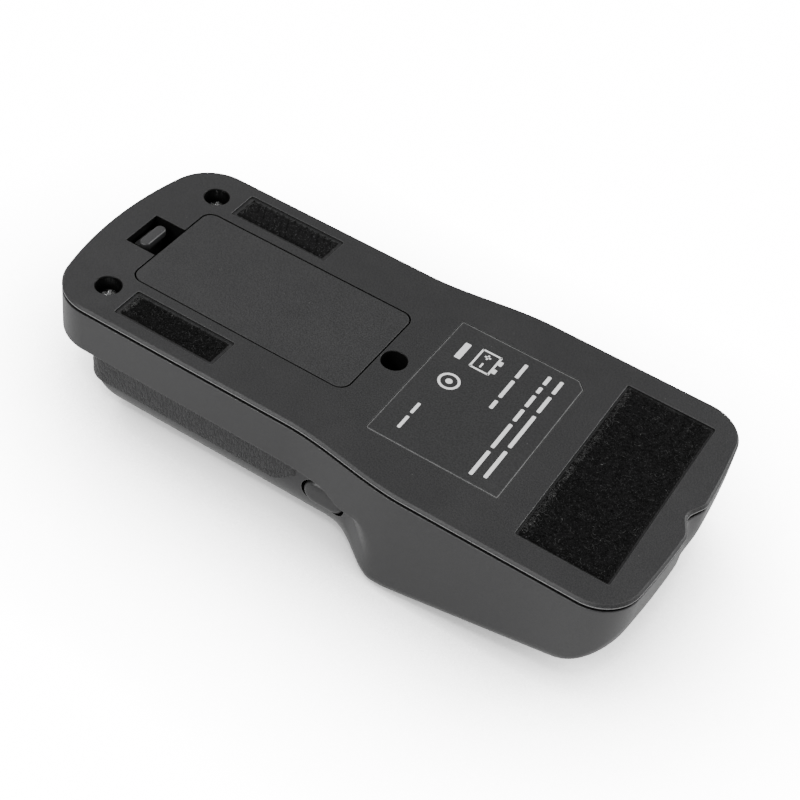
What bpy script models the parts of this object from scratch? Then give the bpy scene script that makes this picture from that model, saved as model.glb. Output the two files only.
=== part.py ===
"""Handheld stud finder, lying on its front with its wall-contact back facing up.

The frame: +X runs from the handle end to the sensing head, +Y to the user's right hand,
+Z out of the flat back. The origin is at the bottom centre of the object's box.
Lengths are in metres.
"""
import bpy
import bmesh
import math
from mathutils import Matrix, Vector

MM = 0.001
GAP = 0.3 * MM                      # clearance between two pieces that touch

# ---- Overall sizes -------------------------------------------------------------
LENGTH = 170 * MM
THICKNESS = 36 * MM                 # front contact plane to the flat back
HANDLE_WIDTH = 67.2 * MM
HEAD_WIDTH = 75.4 * MM

# ---- Plan outline --------------------------------------------------------------
HANDLE_END_BOW = 100 * MM           # radius of the bowed handle end
HEAD_END_BOW = 240 * MM             # radius of the bowed head end
HANDLE_CORNER = 13.5 * MM
HEAD_CORNER = 11.2 * MM
NECK_START = -8 * MM                # where the sides begin to widen towards the head
NECK_END = 27 * MM
NOTCH_DEPTH = 2.5 * MM              # centre-marking notch in the head end
NOTCH_HALF_WIDTH = 6.7 * MM
NOTCH_FADE = 16 * MM                # depth below the back at which the notch runs out

# ---- Front housing -------------------------------------------------------------
SHELL_WALL = 2.4 * MM
FRONT_WALL = 2.2 * MM
SEAM_DEPTH = 1.9 * MM               # housing rim below the back plane
SKIRT_DEPTH = 15 * MM               # height of the overhanging skirt, from the back plane
SKIRT_LIP = 0.4 * MM
SKIRT_OVERHANG = 2.9 * MM           # skirt beyond the handle body, each side
GRIP_END_INSET = 11 * MM            # handle body's end, measured in from the skirt's end
GRIP_CORNER = 6 * MM
GRIP_WALL_EXTRA = 1.0 * MM          # thicker wall behind the rubber sleeve
FLANK_START = 5 * MM                # the grip flank sweeps out to the head between these
FLANK_END = 22 * MM
SKIRT_SWEEP_START = 3 * MM          # where the skirt's edge begins to run down the flank
FRONT_EDGE_HANDLE = (10.5 * MM, 14 * MM)    # rounding across and rounding down, handle
FRONT_EDGE_HEAD = (4.5 * MM, 4.5 * MM)      # the same along the head's sides
FRONT_EDGE_END = (11 * MM, 14 * MM)         # the same at the head end
RIDGE_START = 20 * MM               # the front face bends here into the display slope
RIDGE_END = 28 * MM
DISPLAY_SLOPE = math.radians(12.1)
END_WALL_EXTRA = 2.6 * MM           # thicker wall behind the notch

# ---- Rubber sleeve -------------------------------------------------------------
SLEEVE_THICKNESS = 1.6 * MM
SLEEVE_PROUD = 0.35 * MM
SLEEVE_END = -5 * MM
SLEEVE_BOTTOM = 10.8 * MM           # above the front contact plane

# ---- Rear cover ----------------------------------------------------------------
COVER_EDGE = 1.0 * MM               # thickness of the cover's visible rim
COVER_FILLET = 0.45 * MM
COVER_GROOVE = 1.1 * MM             # depth of the shadow groove under the rim
COVER_THICKNESS = 2.4 * MM
LIP_HEIGHT = 4.0 * MM
LIP_WALL = 1.2 * MM

# ---- Battery bay ---------------------------------------------------------------
DOOR_START = -67.3 * MM
DOOR_LEDGE = (2.3 * MM, 1.9 * MM, 2.7 * MM)     # seat at the latch end, tab end and sides
DOOR_CORNER = 3.0 * MM
DOOR_THICKNESS = 2.0 * MM
DOOR_GAP = 0.35 * MM
DOOR_TAB = (3.6 * MM, 2.6 * MM, 1.3 * MM)   # width, reach past the edge, thickness
DOOR_TAB_PLACE = 9 * MM             # tab centre from the centre line
BATTERY = (48.5 * MM, 26.5 * MM, 17.5 * MM)
BATTERY_CLEARANCE = 0.5 * MM
CONNECTOR_ROOM = 11.0 * MM          # bay length beyond the battery
FOAM_THICKNESS = 1.0 * MM
WELL_WALL = 1.6 * MM
WELL_FLOOR = 1.6 * MM
LATCH_WINDOW = (9.6 * MM, 12.8 * MM)        # length, width
LATCH_DEPTH = 11 * MM
LATCH_WIDTH = 9.2 * MM
LATCH_LEG = 1.1 * MM
LATCH_RIB = 3.0 * MM
LATCH_LEG_PLACE = 2.6 * MM          # outer leg, from the window's far edge
LATCH_HOOK_CLEARANCE = 0.5 * MM     # hook tip, from the window's far edge

# ---- Recesses in the back --------------------------------------------------------
PAD_RECESS = 1.0 * MM
PAD_THICKNESS = 1.2 * MM
HEAD_PAD_SIDE = 7.7 * MM            # recess edge from the side of the head
HEAD_PAD = (24.3 * MM, HEAD_WIDTH - 2 * HEAD_PAD_SIDE, 64.25 * MM)     # length, width, centre x
SIDE_PAD = (29.7 * MM, 9.7 * MM, -47.55 * MM)
SIDE_PAD_PLACE = HANDLE_WIDTH / 2 - 8.95 * MM
HEAD_PAD_MARGIN = 0.5 * MM
SIDE_PAD_MARGIN = 1.0 * MM
LABEL = (36.0 * MM, 46.6 * MM, 25.8 * MM)
LABEL_RECESS = 0.6 * MM
LABEL_THICKNESS = 0.25 * MM
LABEL_CORNER = 2.2 * MM

# ---- Screws --------------------------------------------------------------------
END_SCREWS = (15.6 * MM, 10.7 * MM)         # in from the handle end and from its sides
CENTRE_SCREW_PLACE = 4.3 * MM               # beyond the battery door
SCREW_HEAD = (5.4 * MM, 2.0 * MM)           # diameter, height
SCREW_SHANK = 2.9 * MM
COUNTERBORE = SCREW_HEAD[0] + 1.4 * MM
SCREW_TUBE_WALL = 1.4 * MM
END_SCREW_DEPTH = 5.0 * MM                  # counterbore floor below the back plane
CENTRE_SCREW_DEPTH = 20.0 * MM
SCREW_SEAT = 1.6 * MM
END_SCREW_LENGTH = 6.2 * MM                 # below the counterbore floor
CENTRE_SCREW_LENGTH = 10 * MM
SCREW_BOSS = SCREW_SHANK + 4.7 * MM
BOARD_SCREW_HEAD = (4.2 * MM, 1.4 * MM)
BOARD_SCREW_SHANK = 1.9 * MM

# ---- Sensor board ----------------------------------------------------------------
BOARD_THICKNESS = 1.6 * MM
SENSOR_BOARD = (24 * MM, 76 * MM, HEAD_WIDTH - 11.4 * MM)  # start x, end x, width
SENSOR_CLEARANCE = 2.2 * MM         # room for screw heads between the board and the cover
SENSOR_PLATE = (36 * MM, 16 * MM, 0.3 * MM)
SENSOR_PLATE_PITCH = 20 * MM
BOARD_POST = 6.4 * MM

# ---- Display stack, along the sloping front face -----------------------------------
DISPLAY_X = 50 * MM
WINDOW_SHIFT = 3 * MM
WINDOW_LEDGE = 2.0 * MM
LCD = (30 * MM, 45 * MM, 1.8 * MM)
WINDOW = (LCD[0] + 1 * MM, LCD[1] + 2 * MM, 1.2 * MM)
LCD_FRAME_WALL = 1.6 * MM
LCD_FRAME_DEPTH = 4.4 * MM
BACKLIGHT = (LCD[0] - 10 * MM, LCD[1] - 3 * MM, 1.6 * MM)
CONTACT_STRIP = (2.2 * MM, LCD[1] - 5 * MM, 2.2 * MM)
DISPLAY_BOARD = (LCD[0] + 15 * MM, LCD[1] + 3 * MM)
DISPLAY_BOARD_SHIFT = -2.5 * MM
DISPLAY_SCREW_X = -18 * MM
DISPLAY_SCREW_Y = 20.5 * MM
SIGNAL_LIGHT = 3 * MM
SIGNAL_LIGHT_Y = 12 * MM
FLEX_X = 66 * MM                    # connector on the sensor board
FLEX_Y = 12 * MM
FLEX_START = 14 * MM                # where the ribbon leaves the display board
FLEX_WIDTH = 16 * MM
FLEX_THICKNESS = 0.4 * MM
FLEX_CONNECTOR_HEIGHT = 2.2 * MM

# ---- Controls --------------------------------------------------------------------
MODE_BUTTON = 9 * MM
MODE_TRAVEL = 0.5 * MM
SCAN_BUTTON = (12 * MM, 7 * MM)
SCAN_BUTTON_PLACE = (3.2 * MM, 13.5 * MM)   # x, and height above the front plane
SCAN_BUTTON_PROUD = 0.7 * MM
SCAN_TRAVEL = 0.8 * MM
BUTTON_GAP = 0.35 * MM
FLANGE = 1.2 * MM                           # retaining flange, thickness
FLANGE_REACH = 1.4 * MM
MODE_BUTTON_SHIFT = (
    WINDOW_SHIFT - LCD[0] / 2 - GAP - LCD_FRAME_WALL - 0.7 * MM - MODE_BUTTON / 2 - FLANGE_REACH)
SWITCH_BODY = (6 * MM, 6 * MM, 2.4 * MM)
PLUNGER = 2.6 * MM
SCAN_BOARD = (13 * MM, 13 * MM)

BACK = THICKNESS


# ---- Materials -------------------------------------------------------------------
def make_material(name, colour, roughness, metallic=0.0):
    """Principled material from a linear colour."""
    material = bpy.data.materials.new(name)
    material.use_nodes = True
    shader = material.node_tree.nodes["Principled BSDF"]
    shader.inputs["Base Color"].default_value = (*colour, 1.0)
    shader.inputs["Roughness"].default_value = roughness
    shader.inputs["Metallic"].default_value = metallic
    return material


def clear_scene():
    for item in list(bpy.data.objects):
        bpy.data.objects.remove(item, do_unlink=True)


# ---- Shape functions ---------------------------------------------------------------
def smooth(value, start, end):
    """Smooth step from 0 at start to 1 at end."""
    t = min(max((value - start) / (end - start), 0.0), 1.0)
    return t * t * (3 - 2 * t)


def mix(low, high, share):
    return low + (high - low) * share


def skirt_half_width(x):
    return mix(HANDLE_WIDTH, HEAD_WIDTH, smooth(x, NECK_START, NECK_END)) / 2


def body_half_width(x):
    """Half width of the body below the skirt; it meets the skirt at FLANK_END."""
    skirt = skirt_half_width(x)
    return mix(HANDLE_WIDTH / 2 - SKIRT_OVERHANG, skirt, smooth(x, FLANK_START, FLANK_END))


def front_level(x):
    """Height of the front face: level along the handle, then the display slope."""
    rise = math.tan(DISPLAY_SLOPE)
    middle = (RIDGE_START + RIDGE_END) / 2
    if x <= RIDGE_START:
        return 0.0
    if x < RIDGE_END:
        return rise * (x - RIDGE_START) ** 2 / (2 * (RIDGE_END - RIDGE_START))
    return rise * (x - middle)


def front_edge(x, end_share):
    """Rounding of the front edge, across and down, at a place along the outline."""
    share = smooth(x, FLANK_START - 3 * MM, FLANK_END)
    sizes = []
    for handle, head, end in zip(FRONT_EDGE_HANDLE, FRONT_EDGE_HEAD, FRONT_EDGE_END):
        sizes.append(mix(mix(handle, head, share), end, end_share))
    return sizes


def arc(centre, radius, start, end, count):
    """Points along an arc, without its first one."""
    points = []
    for step in range(1, count + 1):
        angle = mix(start, end, step / count)
        points.append((centre[0] + radius * math.cos(angle), centre[1] + radius * math.sin(angle)))
    return points


class Outline:
    """Closed plan outline, symmetric about the X axis, as matching rows of points.

    Two outlines of any size have the same number of points, so they bridge one to one.
    half holds (x, y, end share) from the handle end's middle to the head end's middle.
    """

    def __init__(self, start, start_corner, end, end_corner, half_width, notch=0.0):
        self.half = []
        self._start_end(start, start_corner, half_width)
        first = self.half[-1][0]
        last = self._end_centre(end, end_corner, half_width)
        for low, high, count in (
            (first, NECK_START, 5),
            (NECK_START, NECK_END, 11),
            (NECK_END, last[0], 4),
        ):
            for step in range(1, count + 1):
                x = mix(low, high, step / count)
                self.half.append((x, half_width(x), 0.0))
        self._head_end(end, end_corner, last, notch)

    def _start_end(self, start, corner, half_width):
        """Bowed handle end and its corner."""
        middle = start + HANDLE_END_BOW
        side = half_width(start)
        reach = HANDLE_END_BOW - corner
        lean = math.asin((side - corner) / reach)
        centre = (middle - reach * math.cos(lean), side - corner)
        self.half.append((start, 0.0, 0.0))
        for x, y in arc((middle, 0.0), HANDLE_END_BOW, math.pi, math.pi - lean, 5):
            self.half.append((x, y, 0.0))
        for x, y in arc(centre, corner, math.pi - lean, math.pi / 2, 6):
            self.half.append((x, y, 0.0))

    def _end_centre(self, end, corner, half_width):
        reach = HEAD_END_BOW - corner
        side = half_width(end)
        lean = math.asin((side - corner) / reach)
        middle = end - HEAD_END_BOW
        return (middle + reach * math.cos(lean), side - corner, lean)

    def _head_end(self, end, corner, place, notch):
        """Head corner, then the bowed end with its notch."""
        x, y, lean = place
        for px, py in arc((x, y), corner, math.pi / 2, lean, 7):
            share = ((px - x) / corner) ** 2
            self.half.append((px, py, share))
        edge = self.half[-1][1]
        stops = (0.8, 0.6, 0.42)
        across = [edge * stop for stop in stops]
        across += [NOTCH_HALF_WIDTH * stop for stop in (1.0, 0.84, 0.67, 0.5, 0.33, 0.17, 0.0)]
        for py in across:
            bow = HEAD_END_BOW - math.sqrt(HEAD_END_BOW ** 2 - py ** 2)
            cut = notch * (1 - smooth(py, 0.0, NOTCH_HALF_WIDTH))
            self.half.append((end - bow - cut, py, 1.0))

    def ring(self, level):
        """All points as vectors; level(x, y, share) gives their height."""
        upper = [Vector((x, y, level(x, y, share))) for x, y, share in self.half]
        lower = [Vector((p.x, -p.y, p.z)) for p in reversed(upper[1:-1])]
        return upper + lower


def skirt_outline(inset=0.0, notch_share=1.0, end_inset=None):
    """The cover's and the skirt's outline, moved in by inset."""
    end_inset = inset if end_inset is None else end_inset
    return Outline(
        -LENGTH / 2 + inset,
        HANDLE_CORNER - inset,
        LENGTH / 2 - end_inset,
        HEAD_CORNER - inset,
        lambda x: skirt_half_width(x) - inset,
        NOTCH_DEPTH * notch_share,
    )


def body_outline(turn=0.0, inset=0.0, end_inset=None, notch_share=0.0):
    """The body's outline below the skirt.

    turn is the angle reached around the front edge's rounding, and inset is the
    distance kept from the outer surface before that rounding.
    """
    end_inset = inset if end_inset is None else end_inset
    share = 1 - math.cos(turn)

    def move(full, kept):
        return kept + (full - kept) * share

    def half_width(x):
        across = front_edge(x, 0.0)[0]
        return body_half_width(x) - move(across, inset)

    start_move = move(FRONT_EDGE_HANDLE[0], inset)
    end_move = move(FRONT_EDGE_END[0], end_inset)
    return Outline(
        -LENGTH / 2 + GRIP_END_INSET + start_move,
        GRIP_CORNER,
        LENGTH / 2 - end_move,
        HEAD_CORNER,
        half_width,
        NOTCH_DEPTH * notch_share,
    )


def front_height(turn, wall=0.0):
    """Height around the front edge's rounding, for a wall of the given thickness."""
    def level(x, y, share):
        down = front_edge(x, share)[1]
        return front_level(x) + wall + (down - wall) * (1 - math.sin(turn))
    return level


def skirt_level(x, y, share):
    """Height of the skirt's lower edge, which runs down and out along the flank."""
    span = FLANK_END - SKIRT_SWEEP_START
    run = min(max((x - SKIRT_SWEEP_START) / span, 0.0), 1.0)
    swept = BACK - SKIRT_DEPTH - (BACK - SKIRT_DEPTH) * 0.7 * run ** 1.6
    lowest = front_height(0.0)(x, y, share) + 0.6 * MM
    return max(swept, lowest)


def notch_share_at(depth):
    return max(0.0, 1 - depth / NOTCH_FADE)


# ---- Mesh helpers ------------------------------------------------------------------
def finish_mesh(name, shape, material, parent=None, smooth_angle=None):
    """Turn a bmesh into an object with outward normals."""
    bmesh.ops.remove_doubles(shape, verts=shape.verts, dist=1e-7)
    bmesh.ops.dissolve_degenerate(shape, edges=shape.edges, dist=1e-7)
    bmesh.ops.recalc_face_normals(shape, faces=shape.faces)
    mesh = bpy.data.meshes.new(name)
    shape.to_mesh(mesh)
    shape.free()
    mesh.materials.append(material)
    if smooth_angle is not None:
        mesh.shade_smooth()
        mesh.set_sharp_from_angle(angle=smooth_angle)
    item = bpy.data.objects.new(name, mesh)
    bpy.context.scene.collection.objects.link(item)
    if parent is not None:
        item.parent = parent
    return item


def bridge(shape, lower, upper):
    """Quads between two closed rows of vertices."""
    count = len(lower)
    for index in range(count):
        after = (index + 1) % count
        shape.faces.new((lower[index], lower[after], upper[after], upper[index]))


def strip_cap(shape, row):
    """Close a symmetric row with strips across it, which follow a bent surface."""
    half = len(row) // 2
    for index in range(half):
        corners = [row[index], row[index + 1], row[-index - 1], row[-index]]
        if index == 0:
            corners = [row[0], row[1], row[-1]]
        elif index == half - 1:
            corners = [row[index], row[half], row[-index]]
        shape.faces.new(corners)


def loft(rings, flat_caps=True):
    """Closed solid through matching rings."""
    shape = bmesh.new()
    rows = [[shape.verts.new(point) for point in ring] for ring in rings]
    for lower, upper in zip(rows, rows[1:]):
        bridge(shape, lower, upper)
    for row in (rows[0], rows[-1]):
        if flat_caps:
            shape.faces.new(row)
        else:
            strip_cap(shape, row)
    return shape


def rounded_rectangle(length, width, radius, segments=5):
    """Plan points of a rectangle with rounded corners, centred on the origin."""
    points = []
    corners = (
        (length / 2 - radius, width / 2 - radius, 0.0),
        (radius - length / 2, width / 2 - radius, 90.0),
        (radius - length / 2, radius - width / 2, 180.0),
        (length / 2 - radius, radius - width / 2, 270.0),
    )
    for x, y, start in corners:
        for step in range(segments + 1):
            angle = math.radians(start + 90 * step / segments)
            points.append((x + radius * math.cos(angle), y + radius * math.sin(angle)))
    return points


def prism(points, bottom, top, chamfer=0.0):
    """Upright solid of a plan outline around the origin, its top edge eased."""
    rings = [[Vector((x, y, z)) for x, y in points] for z in (bottom, top)]
    shape = loft(rings)
    if chamfer > 0:
        edges = [e for e in shape.edges if all(abs(v.co.z - top) < 1e-9 for v in e.verts)]
        bmesh.ops.bevel(
            shape, geom=edges, offset=chamfer, segments=2, profile=0.5,
            affect="EDGES", clamp_overlap=True,
        )
    return shape


def plate(name, size, radius, bottom, top, material, place=(0, 0), parent=None, chamfer=0.0):
    """Rounded rectangular plate, size = (length, width)."""
    shape = prism(rounded_rectangle(size[0], size[1], radius), bottom, top, chamfer)
    bmesh.ops.translate(shape, verts=shape.verts, vec=(place[0], place[1], 0))
    return finish_mesh(name, shape, material, parent)


def block(name, low, high, material, parent=None, ease=0.0):
    """Box between two corners with eased edges."""
    shape = bmesh.new()
    size = Vector(high) - Vector(low)
    middle = (Vector(high) + Vector(low)) / 2
    bmesh.ops.create_cube(shape, size=1.0)
    bmesh.ops.scale(shape, verts=shape.verts, vec=size)
    bmesh.ops.translate(shape, verts=shape.verts, vec=middle)
    if ease > 0:
        bmesh.ops.bevel(
            shape, geom=shape.edges[:], offset=ease, segments=1, profile=0.5, affect="EDGES",
        )
    return finish_mesh(name, shape, material, parent)


def turned(name, profile, place, material, parent=None, segments=24):
    """Solid turned about a vertical axis, profile = (radius, height) from the axis out."""
    rings = []
    for radius, height in profile:
        ring = []
        for step in range(segments):
            angle = 2 * math.pi * step / segments
            ring.append(Vector((radius * math.cos(angle), radius * math.sin(angle), height)))
        rings.append(ring)
    shape = loft(rings)
    bmesh.ops.translate(shape, verts=shape.verts, vec=place)
    return finish_mesh(name, shape, material, parent, smooth_angle=math.radians(35))


def rod(name, diameter, bottom, top, place, material, parent=None, segments=24):
    profile = ((diameter / 2, bottom), (diameter / 2, top))
    return turned(name, profile, (place[0], place[1], 0), material, parent, segments)


def combine(target, tool, operation):
    """Boolean with a tool object that stays out of the model."""
    tool.hide_render = True
    tool.display_type = "WIRE"
    modifier = target.modifiers.new(tool.name, "BOOLEAN")
    modifier.operation = operation
    modifier.solver = "EXACT"
    modifier.object = tool


def cut(target, tool):
    combine(target, tool, "DIFFERENCE")


def add(target, tool):
    combine(target, tool, "UNION")


# ---- Housing ---------------------------------------------------------------------
def wall_inset(x):
    """Inset of the cavity wall behind the sleeve and, thinner, in the head."""
    return SHELL_WALL + GRIP_WALL_EXTRA * (1 - smooth(x, 0.0, FLANK_END))


def cavity_outline(turn):
    """Inside of the body below the skirt."""
    share = 1 - math.cos(turn)

    def half_width(x):
        across = front_edge(x, 0.0)[0]
        kept = wall_inset(x)
        return body_half_width(x) - kept - (across - kept) * share

    kept = SHELL_WALL + GRIP_WALL_EXTRA
    start = kept + (FRONT_EDGE_HANDLE[0] - kept) * share
    end_kept = SHELL_WALL + END_WALL_EXTRA
    end = end_kept + (FRONT_EDGE_END[0] - end_kept) * share
    return Outline(
        -LENGTH / 2 + GRIP_END_INSET + start,
        GRIP_CORNER,
        LENGTH / 2 - end,
        HEAD_CORNER - SHELL_WALL,
        half_width,
    )


def rim_cavity_outline(inset=0.0):
    """Inside of the skirt and of the head's upper wall."""
    side = SHELL_WALL + inset
    end = side + END_WALL_EXTRA
    return Outline(
        -LENGTH / 2 + side,
        HANDLE_CORNER - side,
        LENGTH / 2 - end,
        HEAD_CORNER - side,
        lambda x: skirt_half_width(x) - side,
    )


def housing_shell(material):
    """Open-backed tub with the overhanging skirt."""
    rim = BACK - SEAM_DEPTH
    rim_edge = 0.25 * MM
    turns = [math.radians(angle) for angle in (0, 22.5, 45, 67.5, 90)]
    rings = [rim_cavity_outline().ring(lambda x, y, s: rim)]
    rings.append(skirt_outline(rim_edge, notch_share_at(SEAM_DEPTH)).ring(lambda x, y, s: rim))
    rings.append(skirt_outline(0.0, notch_share_at(SEAM_DEPTH)).ring(lambda x, y, s: rim - rim_edge))
    lower_notch = notch_share_at(FRONT_EDGE_END[1] * 0.75)
    rings.append(skirt_outline(0.0, lower_notch).ring(
        lambda x, y, s: skirt_level(x, y, s) + SKIRT_LIP))
    rings.append(lip_ring(lower_notch))
    rings.append(body_outline(notch_share=lower_notch).ring(skirt_level))
    for turn in turns:
        rings.append(body_outline(turn, notch_share=lower_notch * 0.6 * math.cos(turn)).ring(
            front_height(turn)))
    for turn in reversed(turns[::2]):
        rings.append(cavity_outline(turn).ring(front_height(turn, FRONT_WALL)))

    def floor(x, y, s):
        """Height of the cavity's step, which clears the skirt and the front edge."""
        return max(skirt_level(x, y, s), front_height(0.0)(x, y, s)) + FRONT_WALL

    rings.append(cavity_outline(0.0).ring(floor))
    rings.append(rim_cavity_outline().ring(floor))
    shape = bmesh.new()
    rows = [[shape.verts.new(point) for point in ring] for ring in rings]
    outer_last = 5 + len(turns)
    for index, (lower, upper) in enumerate(zip(rows, rows[1:])):
        if index != outer_last:
            bridge(shape, lower, upper)
    bridge(shape, rows[-1], rows[0])
    strip_cap(shape, rows[outer_last])
    strip_cap(shape, rows[outer_last + 1])
    return finish_mesh("front_housing", shape, material, smooth_angle=math.radians(30))


def lip_ring(notch_share):
    """Small ease along the skirt's lower edge, no wider than the ledge behind it."""
    outer = skirt_outline(0.0, notch_share).ring(skirt_level)
    inner = body_outline(notch_share=notch_share).ring(skirt_level)
    ring = []
    for far, near in zip(outer, inner):
        way = near - far
        reach = min(SKIRT_LIP, way.length / 2)
        ring.append(far + way.normalized() * reach if way.length > 1e-6 else far)
    return ring


def sleeve_solid(name, material, clearance=0.0):
    """U-shaped band around the handle body; clearance swells it into its own recess."""
    outer = body_outline(inset=-SLEEVE_PROUD - clearance)
    inner = body_outline(inset=SLEEVE_THICKNESS - SLEEVE_PROUD + clearance)
    top = BACK - SKIRT_DEPTH - GAP + clearance * 2
    bottom = SLEEVE_BOTTOM - clearance
    last = max(i for i, point in enumerate(outer.half) if point[0] <= NECK_START + 1e-6)
    end = SLEEVE_END + clearance
    shape = bmesh.new()
    sections = []
    for side in (1, -1):
        rows = []
        for index in range(last + 2):
            corners = []
            for source, level in ((outer, bottom), (outer, top), (inner, top), (inner, bottom)):
                x, y, _ = source.half[index]
                if index == last + 1:
                    x = end
                corners.append(Vector((x, y * side, level)))
            rows.append(corners)
        sections.append(rows)
    path = list(reversed(sections[1][1:])) + sections[0]
    rows = [[shape.verts.new(point) for point in corners] for corners in path]
    for low, high in zip(rows, rows[1:]):
        bridge(shape, low, high)
    shape.faces.new(rows[0])
    shape.faces.new(rows[-1])
    return finish_mesh(name, shape, material, smooth_angle=math.radians(30))


def cover_plate(material):
    """Cover with its rim, shadow groove and locating lip."""
    lip = GAP
    levels = (
        (skirt_outline(COVER_FILLET), BACK),
        (skirt_outline(COVER_FILLET * 0.3), BACK - COVER_FILLET * 0.3),
        (skirt_outline(), BACK - COVER_FILLET),
        (skirt_outline(), BACK - COVER_EDGE),
        (skirt_outline(COVER_GROOVE), BACK - COVER_EDGE),
        (skirt_outline(COVER_GROOVE), BACK - SEAM_DEPTH + GAP),
        (rim_cavity_outline(lip), BACK - SEAM_DEPTH + GAP),
        (rim_cavity_outline(lip), BACK - LIP_HEIGHT),
        (rim_cavity_outline(lip + LIP_WALL), BACK - LIP_HEIGHT),
        (rim_cavity_outline(lip + LIP_WALL), BACK - COVER_THICKNESS),
    )
    rings = [outline.ring(lambda x, y, s, z=z: z) for outline, z in levels]
    return finish_mesh("rear_cover", loft(rings), material, smooth_angle=math.radians(30))


# ---- Places shared by the housing, the cover and what they hold ----------------------
WELL_START = DOOR_START + DOOR_LEDGE[0]
BATTERY_START = WELL_START + BATTERY_CLEARANCE
BATTERY_END = BATTERY_START + BATTERY[0]
WELL_END = BATTERY_END + CONNECTOR_ROOM
DOOR_END = WELL_END + DOOR_LEDGE[1]
WELL_HALF_WIDTH = BATTERY[1] / 2 + BATTERY_CLEARANCE
DOOR_WIDTH = 2 * (WELL_HALF_WIDTH + DOOR_LEDGE[2])
DOOR_CENTRE = (DOOR_START + DOOR_END) / 2
DOOR_LENGTH = DOOR_END - DOOR_START
DOOR_BOTTOM = BACK - DOOR_THICKNESS
DOOR_SEAT = DOOR_BOTTOM - GAP
FOAM_BOTTOM = DOOR_BOTTOM - GAP - FOAM_THICKNESS
BATTERY_TOP = FOAM_BOTTOM - GAP
BATTERY_BOTTOM = BATTERY_TOP - BATTERY[2]
WELL_BOTTOM = BATTERY_BOTTOM - GAP
SEAT_DEPTH = DOOR_SEAT - 2.2 * MM
LATCH_START = DOOR_START - LATCH_WINDOW[0]
LATCH_FLOOR = BACK - LATCH_DEPTH
END_SCREW_SEAT = BACK - END_SCREW_DEPTH
CENTRE_SCREW_SEAT = BACK - CENTRE_SCREW_DEPTH
SCREW_TUBE = COUNTERBORE + 2 * SCREW_TUBE_WALL
SENSOR_TOP = BACK - COVER_THICKNESS - SENSOR_CLEARANCE
SENSOR_BOTTOM = SENSOR_TOP - BOARD_THICKNESS
SKIRT_FLOOR = BACK - SKIRT_DEPTH + FRONT_WALL
DISPLAY_LEVEL = FRONT_WALL + GAP + LCD_FRAME_DEPTH + GAP    # near face of the display board
SCAN_X, SCAN_Z = SCAN_BUTTON_PLACE
SCAN_WALL = body_half_width(SCAN_X)
SCAN_INSIDE = SCAN_WALL - wall_inset(SCAN_X)
SENSOR_POSTS = (
    (SENSOR_BOARD[0] + 4 * MM, SENSOR_BOARD[2] / 2 - 4 * MM),
    (SENSOR_BOARD[0] + 4 * MM, 4 * MM - SENSOR_BOARD[2] / 2),
    (SENSOR_BOARD[1] - 3 * MM, 0.0),
)
TONGUE = (10 * MM, 20 * MM, 3.4 * MM)       # near and far edge from the centre line, height
TONGUE_REACH = 2.6 * MM
TAB_SLOT_DEPTH = 6 * MM


def screw_places():
    """Name, x, y, seat height and length below the seat of each housing screw."""
    x = END_SCREWS[0] - LENGTH / 2
    y = HANDLE_WIDTH / 2 - END_SCREWS[1]
    return (
        ("housing_screw_right", x, y, END_SCREW_SEAT, END_SCREW_LENGTH),
        ("housing_screw_left", x, -y, END_SCREW_SEAT, END_SCREW_LENGTH),
        ("housing_screw_centre", DOOR_END + CENTRE_SCREW_PLACE, 0.0, CENTRE_SCREW_SEAT,
         CENTRE_SCREW_LENGTH),
    )


def display_frame():
    """Empty on the middle of the sloping front face, its Z pointing into the housing."""
    frame = bpy.data.objects.new("display_frame", None)
    frame.hide_render = True
    bpy.context.scene.collection.objects.link(frame)
    frame.location = (DISPLAY_X, 0.0, front_level(DISPLAY_X))
    frame.rotation_euler = (0.0, -DISPLAY_SLOPE, 0.0)
    return frame


def scan_frame():
    """Empty on the flank behind the side button, its Z pointing into the housing."""
    frame = bpy.data.objects.new("scan_frame", None)
    frame.hide_render = True
    bpy.context.scene.collection.objects.link(frame)
    frame.location = (SCAN_X, -SCAN_WALL, SCAN_Z)
    frame.rotation_euler = (-math.pi / 2, 0.0, 0.0)
    return frame


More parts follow.
